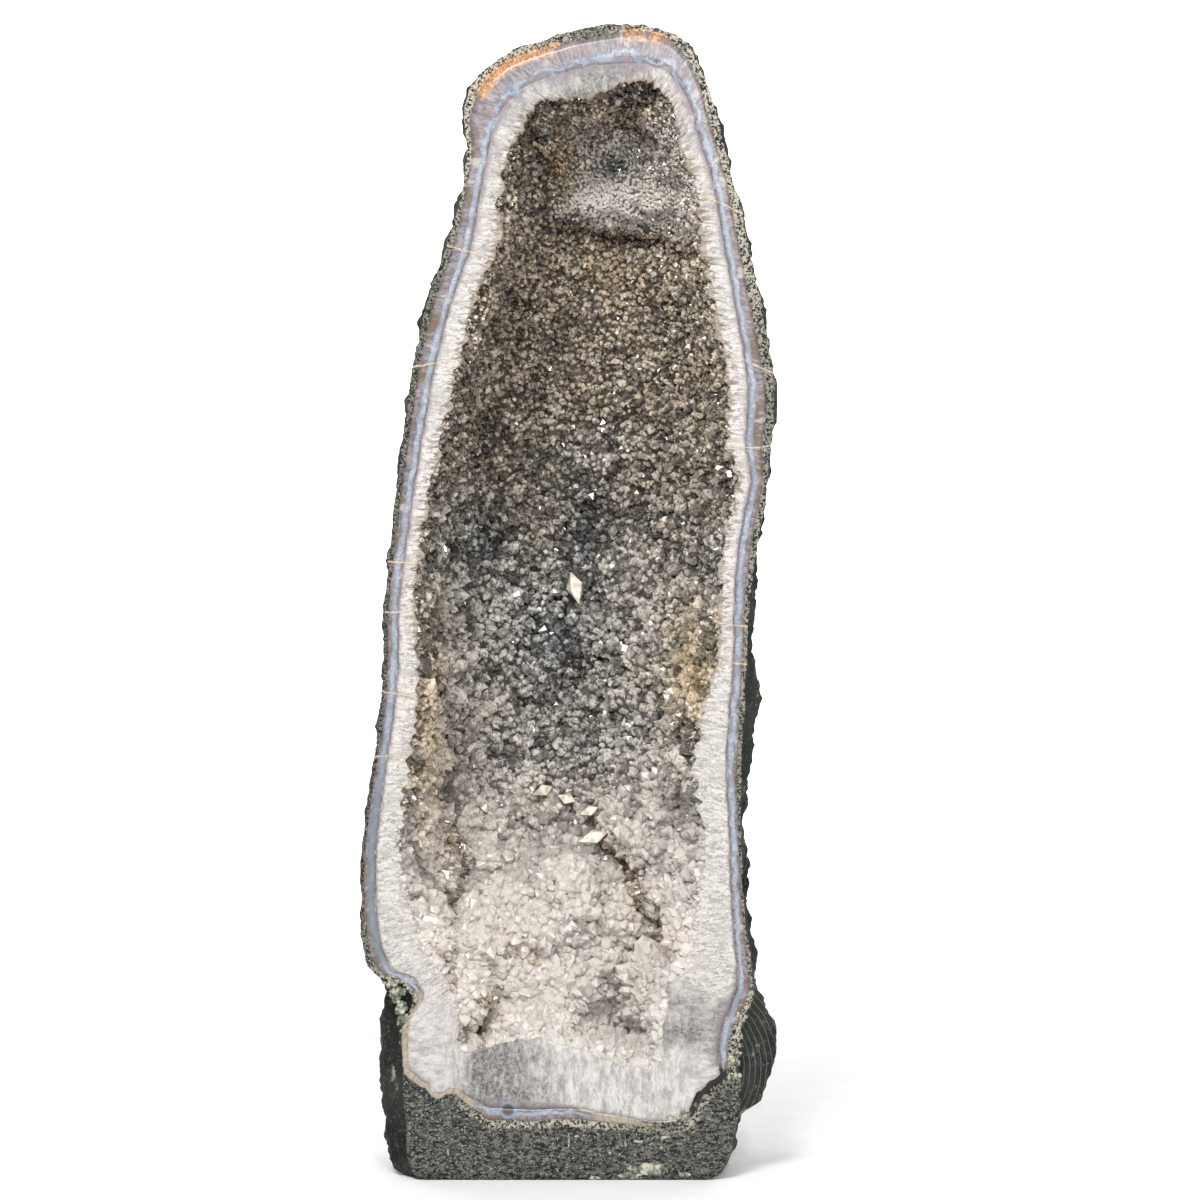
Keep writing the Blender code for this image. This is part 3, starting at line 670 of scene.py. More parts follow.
def basalt_material():
    """Weathered basalt, dull and pitted, sawn flat in front."""
    material, add = new_material("weathered_basalt")
    shown, face = sawn_face(add)
    patches, fine, grain, clay = (
        add("TexNoise", face.place, Scale=lumps_across(size), Detail=detail, Roughness=rough)
        for size, detail, rough in ((50, 5.0, 0.5), (5, 5.0, 0.7), (1.8, 2.0, 0.7), (14, 5.0, 0.65)))
    rock = coat(add, "#131513", ("#32352f", patches, 0.35, 0.65), ("#4e524c", fine, 0.52, 0.70, 0.7),
                ("#83867c", grain, 0.62, 0.72, 0.6), ("#35493f", clay, 0.60, 0.66, 0.6),
                ("#a9a68a", clay, 0.64, 0.70, 0.8))
    centred = add("Mapping", face.place, Location=(-0.085, 0, -0.085))
    arcs = add("TexWave", centred, wave_type="RINGS", rings_direction="Y",
               Scale=WAVE_LENGTH / (4.5 * MM), Distortion=1.8, Detail=3.0)
    shallow = add("MapRange", face.depth, -70 * MM, -45 * MM, 0.4, 0.0)
    arcs = coat(add, rock, ("#7c827b", arcs, 0.86, 0.99, shallow))
    arcs = coat(add, rock, (arcs, face.height, 0.17, 0.15))
    colour = coat(add, shown, (coat(add, rock, (arcs, face.x, 0.130, 0.137)), face.depth, *SKIN))
    pits = add("TexVoronoi", face.place, Scale=lumps_across(5))
    relief = add("Math", fine, pits, operation="ADD")
    relief = add("Math", relief, grain, operation="ADD")
    behind = add("MapRange", face.depth, *SKIN, 0.12, 1.0)
    relief = add("Math", relief, behind, operation="MULTIPLY")
    return dress(material, Base_Color=colour, Roughness=0.8, Specular_IOR_Level=0.3,
                 Normal=add("Bump", Height=relief, Distance=1.4 * MM))


basalt = basalt_material()
print("material:", basalt.name, " nodes:", len(basalt.node_tree.nodes))

# %% [markdown]
# ## The rock rind
#
# The rind's outside is the bowl of the outer edge, pushed in and out along the line from the
# spine: broad bulges, then knobs, then chips. Pushing along that line keeps the sawn face in its
# plane and the base flat on the ground, because both contain the spine.

# %% Build the rock rind
SIDE_STEPS = 300
TOP_STEPS = 118
BASE_STEPS = 118
ROUND = places_round(np.linspace(0, 790, SIDE_STEPS + 1), TOP_STEPS, BASE_STEPS)
HIDDEN_RINGS = np.array([0, 0.06, 0.2, 0.4, 0.65, 1])


def rock_relief(points):
    """Outward relief in millimetres: knobs, ridges and chips, fading out at the sawn plane."""
    knobs = 3.0 * waves(points, 46, 11) + 1.8 * waves(points, 21, 12)
    ridges = 1 - 2 * np.abs(waves(points, 33, 13, 9))
    chips = 1.2 * waves(points, 9, 14) + 0.8 * waves(points, 5, 15)
    return (knobs + 1.8 * ridges + chips) * smooth_step(0, 14, points[..., 1])


def rind_outside():
    """The bowl of the outer edge with its relief, pushed along the line from the spine."""
    rings = np.concatenate([np.linspace(0, 0.05, 14)[:-1], np.linspace(0.05, 1, 62)])
    points = bowl(ROUND[:, None], rings[None], OUTSIDE)
    heart = spine_point(ROUND[:, None], OUTSIDE)
    reach = points - heart
    length = np.linalg.norm(reach, axis=-1, keepdims=True)
    points = heart + reach * (1 + rock_relief(points)[..., None] / np.maximum(length, 20))
    low, high = (np.array(corner) / MM + (MIDDLE_X, MIDDLE_DEPTH, 0) for corner in cad_box)
    return np.clip(points, low, high)


def closed_layer(name, outside, inside, columns):
    """A layer as one closed mesh: its outside, its strip in the sawn plane and its inside."""
    share = np.linspace(0, 1, columns)[None, 1:-1, None]
    strip = outside[:, :1] * (1 - share) + inside[:, :1] * share
    sheet = np.concatenate([outside[:, ::-1], strip, inside], axis=1)
    mesh = make_mesh(name, sheet.reshape(-1, 3), grid_faces(*sheet.shape[:2]))
    store_rim(mesh, sheet, ROUND)
    return mesh, sheet.reshape(-1, 3)


agate_back = bowl(ROUND[:, None], HIDDEN_RINGS[None], AGATE_BACK)
rind_mesh = closed_layer("basalt_rind", rind_outside(), agate_back, 6)[0]
close_seams(rind_mesh)
add_piece("basalt_rind", rind_mesh, basalt, "basalt", "basalt_shell")

# %% [markdown]
# ## Banded agate
#
# Agate is chalcedony, quartz too fine to see, laid down in layers as thin as a hair. Sawn and
# polished it is waxy, and a little light enters it. Its colours are the sawn face's.

# %% The agate layer
def agate_material():
    """Polished chalcedony: waxy, with a little light inside."""
    material, add = new_material("banded_chalcedony")
    return dress(material, Base_Color=sawn_face(add)[0], Roughness=0.3, Subsurface_Weight=0.1,
                 Subsurface_Radius=(0.003, 0.003, 0.004), Subsurface_Scale=1.0)


agate_front = bowl(ROUND[:, None], HIDDEN_RINGS[None], AGATE_FRONT)
agate_mesh = closed_layer("agate_layer", agate_back, agate_front, 5)[0]
close_seams(agate_mesh)
add_piece("agate_layer", agate_mesh, agate_material(), "banded_agate", "agate_band")

# %% [markdown]
# ## The hollow's wall
#
# Under the points, the crust swells into mounds, and over them into balls a thumb wide, because
# each patch of crystals grew outwards from its own seed. The mounds fill part of the hollow's
# depth; the balls are pushed out along the wall's own normal, as half spheres that run into one
# another with sharp creases between them. A few crevices part the mounds.

# %% Mounds, crevices and balls
BALL_SPACING = 58.0
BALL_HEIGHT = 7.0
# The length under which a normal counts as none
TINY = 1e-9
# Mounds: x, z, half width, half height, and the share of the depth that they fill
MOUNDS = (
    (-16, 192, 74, 62, 0.56), (-34, 130, 46, 28, 0.36), (-82, 172, 26, 26, 0.34),
    (66, 262, 34, 44, 0.34), (-112, 240, 26, 60, 0.22), (36, 470, 28, 34, 0.12),
    (8, 500, 12, 90, -0.07), (-25, 420, 14, 60, -0.05), (32, 770, 52, 19, 0.15),
    (88, 752, 21, 19, 0.14), (42, 800, 62, 44, 0.22), (2, 800, 17, 26, 0.07),
    (82, 800, 18, 24, 0.07), (42, 800, 19, 15, -0.15), (-66, 520, 20, 40, -0.05),
    (-60, 620, 34, 60, 0.06),
)
# Crevices: from x and z to x and z, half width, and depth in millimetres
CREVICES = (
    (22, 256, 46, 236, 10, 11), (46, 236, 56, 205, 9, 12), (56, 205, 74, 176, 9, 10),
    (-101, 268, -88, 236, 5, 12), (-88, 236, -95, 196, 4, 9), (-71, 138, -58, 124, 6, 12),
    (-86, 116, -70, 104, 6, 10), (-60, 168, -30, 162, 3, 7), (-100, 176, -92, 150, 4, 9),
    (-16, 756, 70, 744, 5, 16), (70, 744, 96, 722, 4, 12), (-52, 828, -14, 800, 9, 8),
)


def near_line(points, start_x, start_z, end_x, end_z, half_width):
    """How near each point is, seen from the front, to a line: 1 on it, 0 well away from it."""
    line = np.array([end_x - start_x, end_z - start_z], float)
    from_start = points[..., [0, 2]] - (start_x, start_z)
    share = np.clip(from_start @ line / (line @ line), 0, 1)
    apart = np.linalg.norm(from_start - share[..., None] * line, axis=-1)
    return np.exp(-(apart / half_width) ** 2)


def smooth_wall(place, ring):
    """The hollow's bowl with its depth partly filled by mounds and parted by crevices."""
    points = bowl(place, ring, HOLLOW)
    x, depth, z = points[..., 0], points[..., 1], points[..., 2]
    filled = np.zeros_like(x)
    for middle_x, middle_z, half_width, half_height, share in MOUNDS:
        distance = ((x - middle_x) / half_width) ** 2 + ((z - middle_z) / half_height) ** 2
        filled += share * np.exp(-distance)
    balls = BALL_HEIGHT * waves(points, BALL_SPACING, 8) * smooth_step(10, 60, depth)
    cut = sum(near_line(points, *line) * deep for *line, deep in CREVICES)
    cut = cut * smooth_step(6, 30, depth)
    points[..., 1] = depth * (1 - np.clip(filled, -0.08, 0.72)) - balls + cut
    return points


def grid_normals(points):
    """Unit normals of a grid whose rows close on themselves, turned to face the sawn plane."""
    around = np.roll(points, -1, axis=0) - np.roll(points, 1, axis=0)
    across = np.gradient(points, axis=1)
    normal = np.cross(around, across)
    size = np.linalg.norm(normal, axis=-1, keepdims=True)
    normal = np.where(size > TINY, normal / np.maximum(size, TINY), (0, -1, 0))
    inward = spine_point(ROUND, HOLLOW)[:, None] - points
    inward[..., 1] = -np.abs(points[..., 1]) - 1
    facing = np.sign((normal * inward).sum(axis=-1, keepdims=True))
    return normal * np.where(facing == 0, 1, facing)


def band_share(z, low, high, soft=25.0):
    """1 between two heights, fading out softly beyond them."""
    return smooth_step(low - soft, low + soft, z) * (1 - smooth_step(high - soft, high + soft, z))


def ball_relief(points, count, sizes, low, high, seed):
    """Half spheres on the wall between two heights: at each point the highest that reaches it."""
    rng = np.random.default_rng(seed)
    flat = points.reshape(-1, 3)
    chance = 0.02 + band_share(flat[:, 2], low, high)
    centres = flat[rng.choice(len(flat), count, p=chance / chance.sum())]
    height = np.zeros(len(flat))
    for centre, size in zip(centres, rng.uniform(*sizes, count)):
        apart = ((flat - centre) ** 2).sum(axis=1)
        height = np.maximum(height, np.sqrt(np.maximum(size ** 2 - apart, 0)) * 0.8)
    return height.reshape(points.shape[:-1])


def node_box(node):
    """The middle and the half size of one of the frame's solids, in this script's millimetres."""
    corners = np.array([node.matrix_world @ Vector(corner) for corner in node.bound_box]) / MM
    low, high = corners.min(axis=0), corners.max(axis=0)
    return (low + high) / 2 + (MIDDLE_X, MIDDLE_DEPTH, 0), (high - low) / 2


def apart_from(points, middle, half, room=0.0):
    """How far off each point is from a box's middle, seen from the front: 1 at its border."""
    return np.hypot((points[..., 0] - middle[0]) / (half[0] + room),
                    (points[..., 2] - middle[2]) / (half[2] + room))


WALL_RINGS = np.linspace(0, 1, 84)
wall = smooth_wall(ROUND[:, None], WALL_RINGS[None])
normals = grid_normals(wall)
small_balls = ball_relief(wall, 560, (4, 8), 440, 860, 82)
balls = ball_relief(wall, 330, (8, 13), 290, 470, 81)
big_balls = ball_relief(wall, 110, (13, 24), 120, 290, 83)
rise = np.maximum(np.maximum(small_balls, balls), 0.8 * big_balls)
rise += 1.2 * waves(wall, 15, 84) + 0.8 * waves(wall, 7, 85)
# Painted shade: the crust's tint is darkened in the creases between the balls, most at middle
# heights, and raised a little on the balls' tops; the points take it too.
CREASE_HEIGHTS = (260, 340, 480, 640, 740)
crease_low = np.interp(wall[..., 2], CREASE_HEIGHTS, (-2, 0, -1, -1, -2.5))
crease_high = np.interp(wall[..., 2], CREASE_HEIGHTS, (8, 8, 5, 4.5, 2.5))
creases = smooth_step(crease_low, crease_high, rise)
darkest = np.interp(wall[..., 2], (200, 330, 480, 640), (0.68, 0.32, 0.36, 0.5))
painted_crease_shade = darkest + (1.08 - darkest) * creases
rise *= smooth_step(0.5, 14, wall[..., 1])
wall = wall + normals * rise[..., None]
calcites = [node for name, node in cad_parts.items() if name.startswith("calcite")]
calcite_boxes = [node_box(node) for node in calcites]
for middle, half in calcite_boxes:
    near = 1 - smooth_step(1.0, 2.0, apart_from(wall, middle, half, 1.0))
    behind = np.maximum(middle[1] + 0.3 * half[1] - wall[..., 1], 0)
    print("calcite sunk under the wall, mm:", round(float((near * behind).max()), 1))
    wall[..., 1] += near * behind
wall[..., 1] = np.maximum(wall[..., 1], 0)
print("hollow's depth mm:", round(float(wall[..., 1].max())))

# %% [markdown]
# ## Colour of the crust
#
# The crust's colour changes from place to place: smoky brown and nearly black at the top, grey
# in the middle, blue-grey in the shaded gullies, where it also paints their shade, and milky beige
# on the mounds at the bottom. A function mixes named colours by height and by soft patches, some of
# which paint shadow and light, darkens them along the crevices as painted shade, and both the wall
# and the points ask it for their tint, each point with a little luck of its own.

# %% The tint of the crust
TINTS = {
    "black": linear("#2a2520"), "smoky": linear("#64584a"), "brown": linear("#a19584"),
    "grey": linear("#b5afa5"), "slate": linear("#60666a"), "pale": linear("#d9d1c8"),
    "milky": linear("#f6eee6"), "cream": linear("#fbf4ec"), "golden": linear("#e2c9a2"),
}
TINT_HEIGHTS = (95, 175, 225, 266, 345, 470, 560, 640, 740, 850)
TINT_NAMES = ("cream", "milky", "milky", "pale", "grey", "grey", "brown", "brown", "brown", "smoky")
# Patches: x, z, half width, half height, tint, and how much of it there is in the middle
# Painted shadow and light among the patches: the black ones just under the top of the hollow paint
# the shadow beneath the rim, the thin smoky band under the eye's lip paints its shadow, the slate
# ones in the gullies and in the eye's pit partly paint their shade, and the cream one on the eye's
# lip partly paints the light that it catches.
TINT_PATCHES = (
    (8, 500, 20, 60, "slate", 0.85), (-22, 420, 44, 50, "slate", 0.75),
    (-8, 330, 60, 26, "slate", 0.45), (-76, 590, 24, 24, "black", 0.55),
    (-76, 500, 26, 34, "slate", 0.8), (38, 470, 32, 36, "pale", 0.5),
    (26, 575, 60, 24, "grey", 0.6), (50, 806, 58, 30, "pale", 0.75),
    (32, 770, 56, 18, "cream", 1.0), (90, 754, 20, 17, "pale", 0.9),
    (-8, 798, 11, 28, "golden", 0.6), (0, 843, 52, 11, "black", 0.75),
    (40, 836, 40, 8, "golden", 0.3), (-44, 822, 26, 20, "black", 0.85),
    (56, 850, 34, 9, "black", 0.85), (-30, 770, 30, 40, "smoky", 0.8),
    (30, 746, 50, 5, "smoky", 0.6), (-50, 690, 30, 34, "smoky", 0.6),
    (30, 722, 50, 20, "golden", 0.3), (100, 392, 20, 50, "golden", 0.85),
    (-118, 560, 10, 120, "brown", 0.7), (-30, 128, 40, 24, "cream", 1.0),
    (34, 800, 13, 10, "slate", 0.9), (-106, 238, 10, 26, "brown", 0.5),
    (-118, 350, 15, 80, "golden", 0.65), (4, 235, 60, 16, "milky", 0.7),
    (70, 258, 34, 40, "milky", 0.65), (-108, 200, 16, 60, "pale", 0.5),
    (-70, 350, 34, 34, "pale", 0.35),
)


def paleness(colours):
    """0 for smoky colours, 1 for milky ones."""
    return smooth_step(0.30, 0.85, colours.mean(axis=-1))


def crust_tint(points):
    """The crust's colour at each point from its height, patches and clouds, with painted shade in
    the crevices.
    """
    z = points[:, 2] + 22 * waves(points, 90, 91)
    table = np.array([TINTS[name] for name in TINT_NAMES])
    colour = np.stack([np.interp(z, TINT_HEIGHTS, table[:, k]) for k in range(3)], axis=-1)
    for x, height, half_width, half_height, name, most in TINT_PATCHES:
        apart = ((points[:, 0] - x) / half_width) ** 2 + ((points[:, 2] - height) / half_height) ** 2
        share = (np.exp(-apart) * most)[:, None]
        colour = colour * (1 - share) + TINTS[name] * share
    # Painted shade: darker and a little browner along the crevices.
    for *line, deep in CREVICES:
        colour = colour * (1 - 0.5 * near_line(points, *line)[:, None] * [0.9, 1.0, 1.15])
    uneven = 0.22 * waves(points, 34, 92) + 0.18 * waves(points, 17, 93)
    return colour * (1 + uneven * (1 - 0.7 * paleness(colour)))[:, None]


print("tints:", len(TINTS), " patches:", len(TINT_PATCHES))

# %% [markdown]
# ## White columnar quartz
#
# Between the agate and the hollow the quartz stands in columns, side by side. The saw cut them
# lengthwise, and where they end in the hollow their tips make the rim's inner edge ragged. Inside
# the hollow the same piece is the ground that the points stand on, darker than they are, because
# little light comes back from between them.

# %% The quartz wall
def quartz_wall_material():
    """Milky columnar quartz where it is sawn, and shaded crust inside the hollow."""
    material, add = new_material("columnar_quartz")
    shown, face = sawn_face(add)
    tint = add("Attribute", attribute_name="tint", out="Color")
    colour = coat(add, shown, (tint, face.depth, FACE_Y + 0.3 * MM, FACE_Y + 2.0 * MM))
    relief = add("Math", face.streaks, face.sugar, operation="ADD")
    return dress(material, Base_Color=colour, Roughness=0.42, Subsurface_Weight=0.1,
                 Subsurface_Radius=(0.005, 0.004, 0.003), Subsurface_Scale=1.0,
                 Normal=add("Bump", Height=relief, Distance=0.5 * MM))


# The ragged inner edge: single columns that stick out, and broad swells, by height
RIM_HEIGHTS = (125, 170, 300, 400)
rim_z = wall[:, 0, 2]
teeth = np.random.default_rng(33).uniform(-1, 1, len(ROUND))
teeth = 2.2 * teeth + 1.2 * np.roll(teeth, 1)
teeth *= np.interp(rim_z, RIM_HEIGHTS, (0.35, 1.3, 1.4, 1.0))
swells = 2.4 * waves(wall[:, 0], 15, 34) + 2.0 * waves(wall[:, 0], 38, 35)
teeth += swells * np.interp(rim_z, RIM_HEIGHTS, (1.5, 1.3, 1.3, 1.0))
outward = unit(wall[:, 0] - spine_point(ROUND, HOLLOW))
wall[:, 0] += outward * teeth[:, None] * [1, 0, 1]
crust_mesh, crust_points = closed_layer("quartz_wall", agate_front, wall, 12)
# Painted shade: the wall's ground under the points is darkened, most above about 360 mm and least
# below 200 mm, where the mounds are milky.
between = 0.16 + 0.5 * (1 - smooth_step(200, 360, crust_points[:, 2:]))
store_colour(crust_mesh, "tint", crust_tint(crust_points) * between)
close_seams(crust_mesh)
add_piece("quartz_wall", crust_mesh, quartz_wall_material(), "smoky_quartz", "crystal_crust")

# %% [markdown]
# ## Thousands of quartz points
#
# A quartz crystal is a six-sided column with a six-sided tip, its faces flat and glassy. They
# crowd the wall, fine at the top and coarse at the bottom, each leaning its own way, and large
# ones stand between small ones. All come from whole arrays: a place on the wall, a direction and
# a size, then a few rings of six corners. A crystal has two or three dozen faces, so thousands of
# them stay light. Every corner has its own painted shading: painted shade at the foot, where the
# crystals crowd, and a painted highlight at the tip.

# %% Place and shape the points
# The least depth of a crystal behind the sawn plane, and of its foot when it is strewn
BEHIND_SAW = 0.3
LEAST_DEPTH = 1.0


def scatter(points, facing, spacing, seed):
    """Random places on a grid, as many as its cells' areas hold crystals of the local spacing."""
    rng = np.random.default_rng(seed)
    corner = points[:, :-1]
    side_a = np.roll(points, -1, axis=0)[:, :-1] - corner
    side_b = points[:, 1:] - corner
    area = np.linalg.norm(np.cross(side_a, side_b), axis=-1)
    gap = spacing(corner)
    running = np.cumsum(area / gap ** 2, axis=0) + rng.uniform(0, 1, area.shape[1])
    counts = np.diff(np.floor(running), axis=0, prepend=np.floor(running[:1])).astype(int)
    row, column = (np.repeat(part.ravel(), counts.ravel()) for part in np.indices(area.shape))
    u, v = rng.uniform(0, 1, (2, len(row), 1))
    spots = corner[row, column] + side_a[row, column] * u + side_b[row, column] * v
    inside = spots[:, 1] > LEAST_DEPTH
    for middle, half in calcite_boxes:
        inside &= apart_from(spots, middle, half) > 1.15
    # The painted shade of the creases where each point stands
    light = painted_crease_shade[row, column]
    return spots[inside], facing[row, column][inside], gap[row, column][inside], light[inside]


def grow_crystals(spots, facing, radius, rings, lean, seed):
    """Corners of the crystals: rings of six round a leaning axis, then the tip. Each ring is a
    width and a height in radii; a corner is the place, plus its angle's cosine and sine along
    two directions square to the axis, plus its height along the axis."""
    rng = np.random.default_rng(seed)
    count = len(spots)
    up = unit(facing + rng.normal(size=(count, 3)) * lean)
    side = unit(np.cross(up, rng.normal(size=(count, 3))))
    other = np.cross(up, side)
    size = radius[:, None, None]
    angles = (np.arange(6) * np.pi / 3 + rng.uniform(-0.2, 0.2, (count, 6)))[..., None]
    reach = rng.uniform(0.8, 1.15, (count, 6, 1))
    round_axis = (side[:, None] * np.cos(angles) + other[:, None] * np.sin(angles)) * reach * size
    stand = rng.uniform(0.1, 0.9, (count, 1, 1))
    levels = []
    for number, (width, height) in enumerate(rings):
        uneven = rng.uniform(-0.22, 0.22, (count, 6, 1)) * (number > 0)
        rise = (height + uneven + stand * (number > 0)) * size
        levels.append(spots[:, None] + round_axis * width + up[:, None] * rise)
    tip = rings[-1][1] + stand[:, 0] + rng.uniform(0.75, 1.3, (count, 1)) * rings[-1][0]
    off = side * rng.uniform(-0.25, 0.25, (count, 1))
    off = off + other * rng.uniform(-0.25, 0.25, (count, 1))
    levels.append((spots + (up * tip + off * rings[-1][0]) * radius[:, None])[:, None])
    corners = np.concatenate(levels, axis=1)
    front = corners[:, 6:, 1].min(axis=1) - BEHIND_SAW
    corners[..., 1] -= np.minimum(front, 0)[:, None]
    corners[:, :6, 1] = np.maximum(corners[:, :6, 1], BEHIND_SAW)
    return corners


def crystal_faces(count, rings):
    """Triangles of one crystal, sides then tip then foot, repeated for all of them."""
    one = []
    for low in range(0, 6 * (rings - 1), 6):
        one += [(low + k, low + (k + 1) % 6, low + 6 + (k + 1) % 6) for k in range(6)]
        one += [(low + k, low + 6 + (k + 1) % 6, low + 6 + k) for k in range(6)]
    last = 6 * (rings - 1)
    one += [(last + k, last + (k + 1) % 6, last + 6) for k in range(6)]
    one += [(0, k + 1, k) for k in range(1, 5)]
    each = 6 * rings + 1
    return (np.array(one)[None] + each * np.arange(count)[:, None, None]).reshape(-1, 3)


def corner_shades(milky, rings, contrast, seed):
    """A factor for every corner's tint: painted shade at the foot, a painted highlight at the tip,
    and luck in between, partly the crystals' own tones and partly painted light and shade on their
    faces. The milkier a crystal is, the less its shades differ."""
    rng = np.random.default_rng(seed)
    smoky_levels = np.append(np.repeat(np.linspace(0.15, 1.0, rings), 6), 1.6)
    milky_levels = np.append(np.repeat(np.linspace(0.75, 1.0, rings), 6), 1.08)
    milky = milky[:, None]
    levels = smoky_levels * (1 - milky) + milky_levels * milky
    calm = 1 - 0.8 * milky
    crystal = rng.normal(size=(len(milky), 1)) * contrast[:, None] * calm
    corner = rng.normal(size=levels.shape) * 0.4 * calm
    return levels * np.exp(crystal + corner)


def quartz_point_material():
    """Smoky quartz: glassy faces, partly clear, the colour in each crystal's own tint."""
    material, add = new_material("smoky_quartz_points")
    tint = add("Attribute", attribute_name="tint", out="Color")
    milky = add("Attribute", attribute_name="milky", out="Fac")
    place = add("TexCoord", out="Object")
    # Dark and pale flecks from noise: partly faults and healed cracks inside the crystals, partly
    # painted shade between small faces and painted glints on them; the dark ones are strongest on
    # smoky crystals.
    flaws_and_painted_shading = add("TexNoise", place, Scale=lumps_across(2.2), Detail=3.0, Roughness=0.7)
    most = add("MapRange", milky, 0.0, 1.0, 0.85, 0.12)
    colour = coat(add, tint, ("#0d0b09", flaws_and_painted_shading, 0.50, 0.36, most),
                  ("#f3ece2", flaws_and_painted_shading, 0.56, 0.72, 0.6))
    return dress(material, Base_Color=colour, IOR=1.545, Transmission_Weight=0.3,
                 Roughness=add("MapRange", milky, 0.0, 1.0, 0.08, 0.35))


# The most light that a crystal's colour may give back, in any of red, green and blue
BRIGHTEST = 0.9
# The points are lighter than the wall; one in ten is brightened as a painted glint, and one in
# fifty-five is large and cream-white, a larger painted glint
POINT_LIGHT = 1.3
PAINTED_GLINT_SHARE, PAINTED_GLINT_GAIN = 0.10, 2.3
LARGE_PAINTED_GLINT_SHARE = 0.018
# Rings of a crystal below its tip, as widths and heights in radii
PRISM = ((1.0, -1.3), (1.0, 0.0))
BLOCK = ((0.9, -1.0), (1.0, 0.0), (0.55, 0.55))
quartz_points = quartz_point_material()
wall_normals = grid_normals(wall)


def largest(points):
    """The widest spacing that a crystal's size still follows, in millimetres, by height."""
    return np.interp(points[..., 2], (200, 300, 450, 700), (11, 9, 10, 7))


def add_points(names, spacing, sizes, rings, lean, contrasts, seed):
    """Scatters one kind of crystal and splits it by height into pieces with these names."""
    spots, facing, gap, light = scatter(wall, wall_normals, spacing, seed)
    rng = np.random.default_rng(seed + 1)
    radius = np.minimum(gap, largest(spots)) * rng.uniform(*sizes, len(spots))
    tints = crust_tint(spots)
    milky = paleness(tints)
    contrast = np.interp(spots[:, 2], (400, 560), contrasts)
    shades = corner_shades(milky, len(rings), contrast, seed + 3)
    # Painted shade: the points are darkened in the creases between the balls, like the wall.
    tints *= light[:, None] * POINT_LIGHT
    # Painted glints: a brighter colour on one in ten points, and a larger, near-white point on one
    # in fifty-five, standing in for faces that mirror the lamps.
    luck = rng.uniform(size=len(spots))
    tints[luck < PAINTED_GLINT_SHARE] *= PAINTED_GLINT_GAIN
    bright = luck < LARGE_PAINTED_GLINT_SHARE
    tints[bright] = TINTS["cream"] * 1.4
    radius[bright] *= 1.25
    corners = grow_crystals(spots, facing, radius, rings, lean, seed + 2)
    tints = np.maximum(tints[:, None] * shades[..., None], 0.004)
    tints *= np.minimum(1, BRIGHTEST / tints.max(axis=-1, keepdims=True))
    order = np.argsort(spots[:, 2])
    print("crystals of this kind:", len(spots))
    for name, chosen in zip(names, np.array_split(order, len(names))):
        faces = crystal_faces(len(chosen), len(rings))
        mesh = make_mesh(name, corners[chosen].reshape(-1, 3), faces, smooth=False)
        store_colour(mesh, "tint", tints[chosen].reshape(-1, 3))
        store_number(mesh, "milky", np.repeat(milky[chosen], 6 * len(rings) + 1))
        add_piece(name, mesh, quartz_points, "smoky_quartz")


def fine_spacing(points):
    """How far apart the fine points stand, in millimetres, by height."""
    by_height = np.interp(points[..., 2], (100, 300, 450, 600, 720, 850),
                          (5.8, 5.2, 4.6, 4.1, 3.6, 3.5))
    from_eye = ((points[..., 0] - 42) / 66) ** 2 + ((points[..., 2] - 790) / 46) ** 2
    finer = 1 - 0.3 * (1 - smooth_step(0.7, 1.3, from_eye))
    return by_height * finer * (0.75 + 0.25 * smooth_step(4, 16, points[..., 1]))


def coarse_spacing(points):
    """How far apart the coarse points stand: close together low down, far apart at the top."""
    return np.interp(points[..., 2], (100, 220, 320, 470, 560, 700), (9.5, 9.5, 13, 17, 18, 60))


add_points(("quartz_points_lower", "quartz_points_middle", "quartz_points_upper"),
           fine_spacing, (0.44, 0.76), PRISM, 0.36, (0.42, 0.75), 100)
add_points(("coarse_quartz_points",), coarse_spacing, (0.40, 0.68), BLOCK, 0.34, (0.3, 0.45), 200)

# %% [markdown]
# ## Calcite
#
# The last crystals to grow were calcite: pale cream, satin, with flat faces. The frame's own
# solids have the right shape, so they stay, and only their material is set.

# %% The calcite material
def calcite_material():
    """Cream calcite: satin faces, clouded here and there."""
    material, add = new_material("cream_calcite")
    place = add("TexCoord", out="Object")
    clouds = add("TexNoise", place, Scale=lumps_across(6), Detail=3.0)
    grain = add("TexNoise", place, Scale=lumps_across(2), Detail=2.0)
    colour = coat(add, "#f3ede0", ("#cdc0a8", clouds, 0.40, 0.66))
    return dress(material, Base_Color=colour, Roughness=0.35,
                 Normal=add("Bump", Height=grain, Distance=0.3 * MM))


calcite = calcite_material()
for node in calcites:
    node.data.materials.clear()
    node.data.materials.append(calcite)
print("calcite crystals:", len(calcites))

# %% [markdown]
# ## Clay crusts and chalky patches
#
# Cream and green clay sits in crumbs where the rock broke away from the bubble's wall, at the
# notch on the left and down the lower right, and as flat chalky patches on the base's front. Each
# is a heap of closed lumps: a sphere, stretched, whose surface is pushed in and out by waves.

# %% Lumps of clay
# How far the clay stands proud of the sawn face, in millimetres, because the saw cut it too
PROUD = 0.5


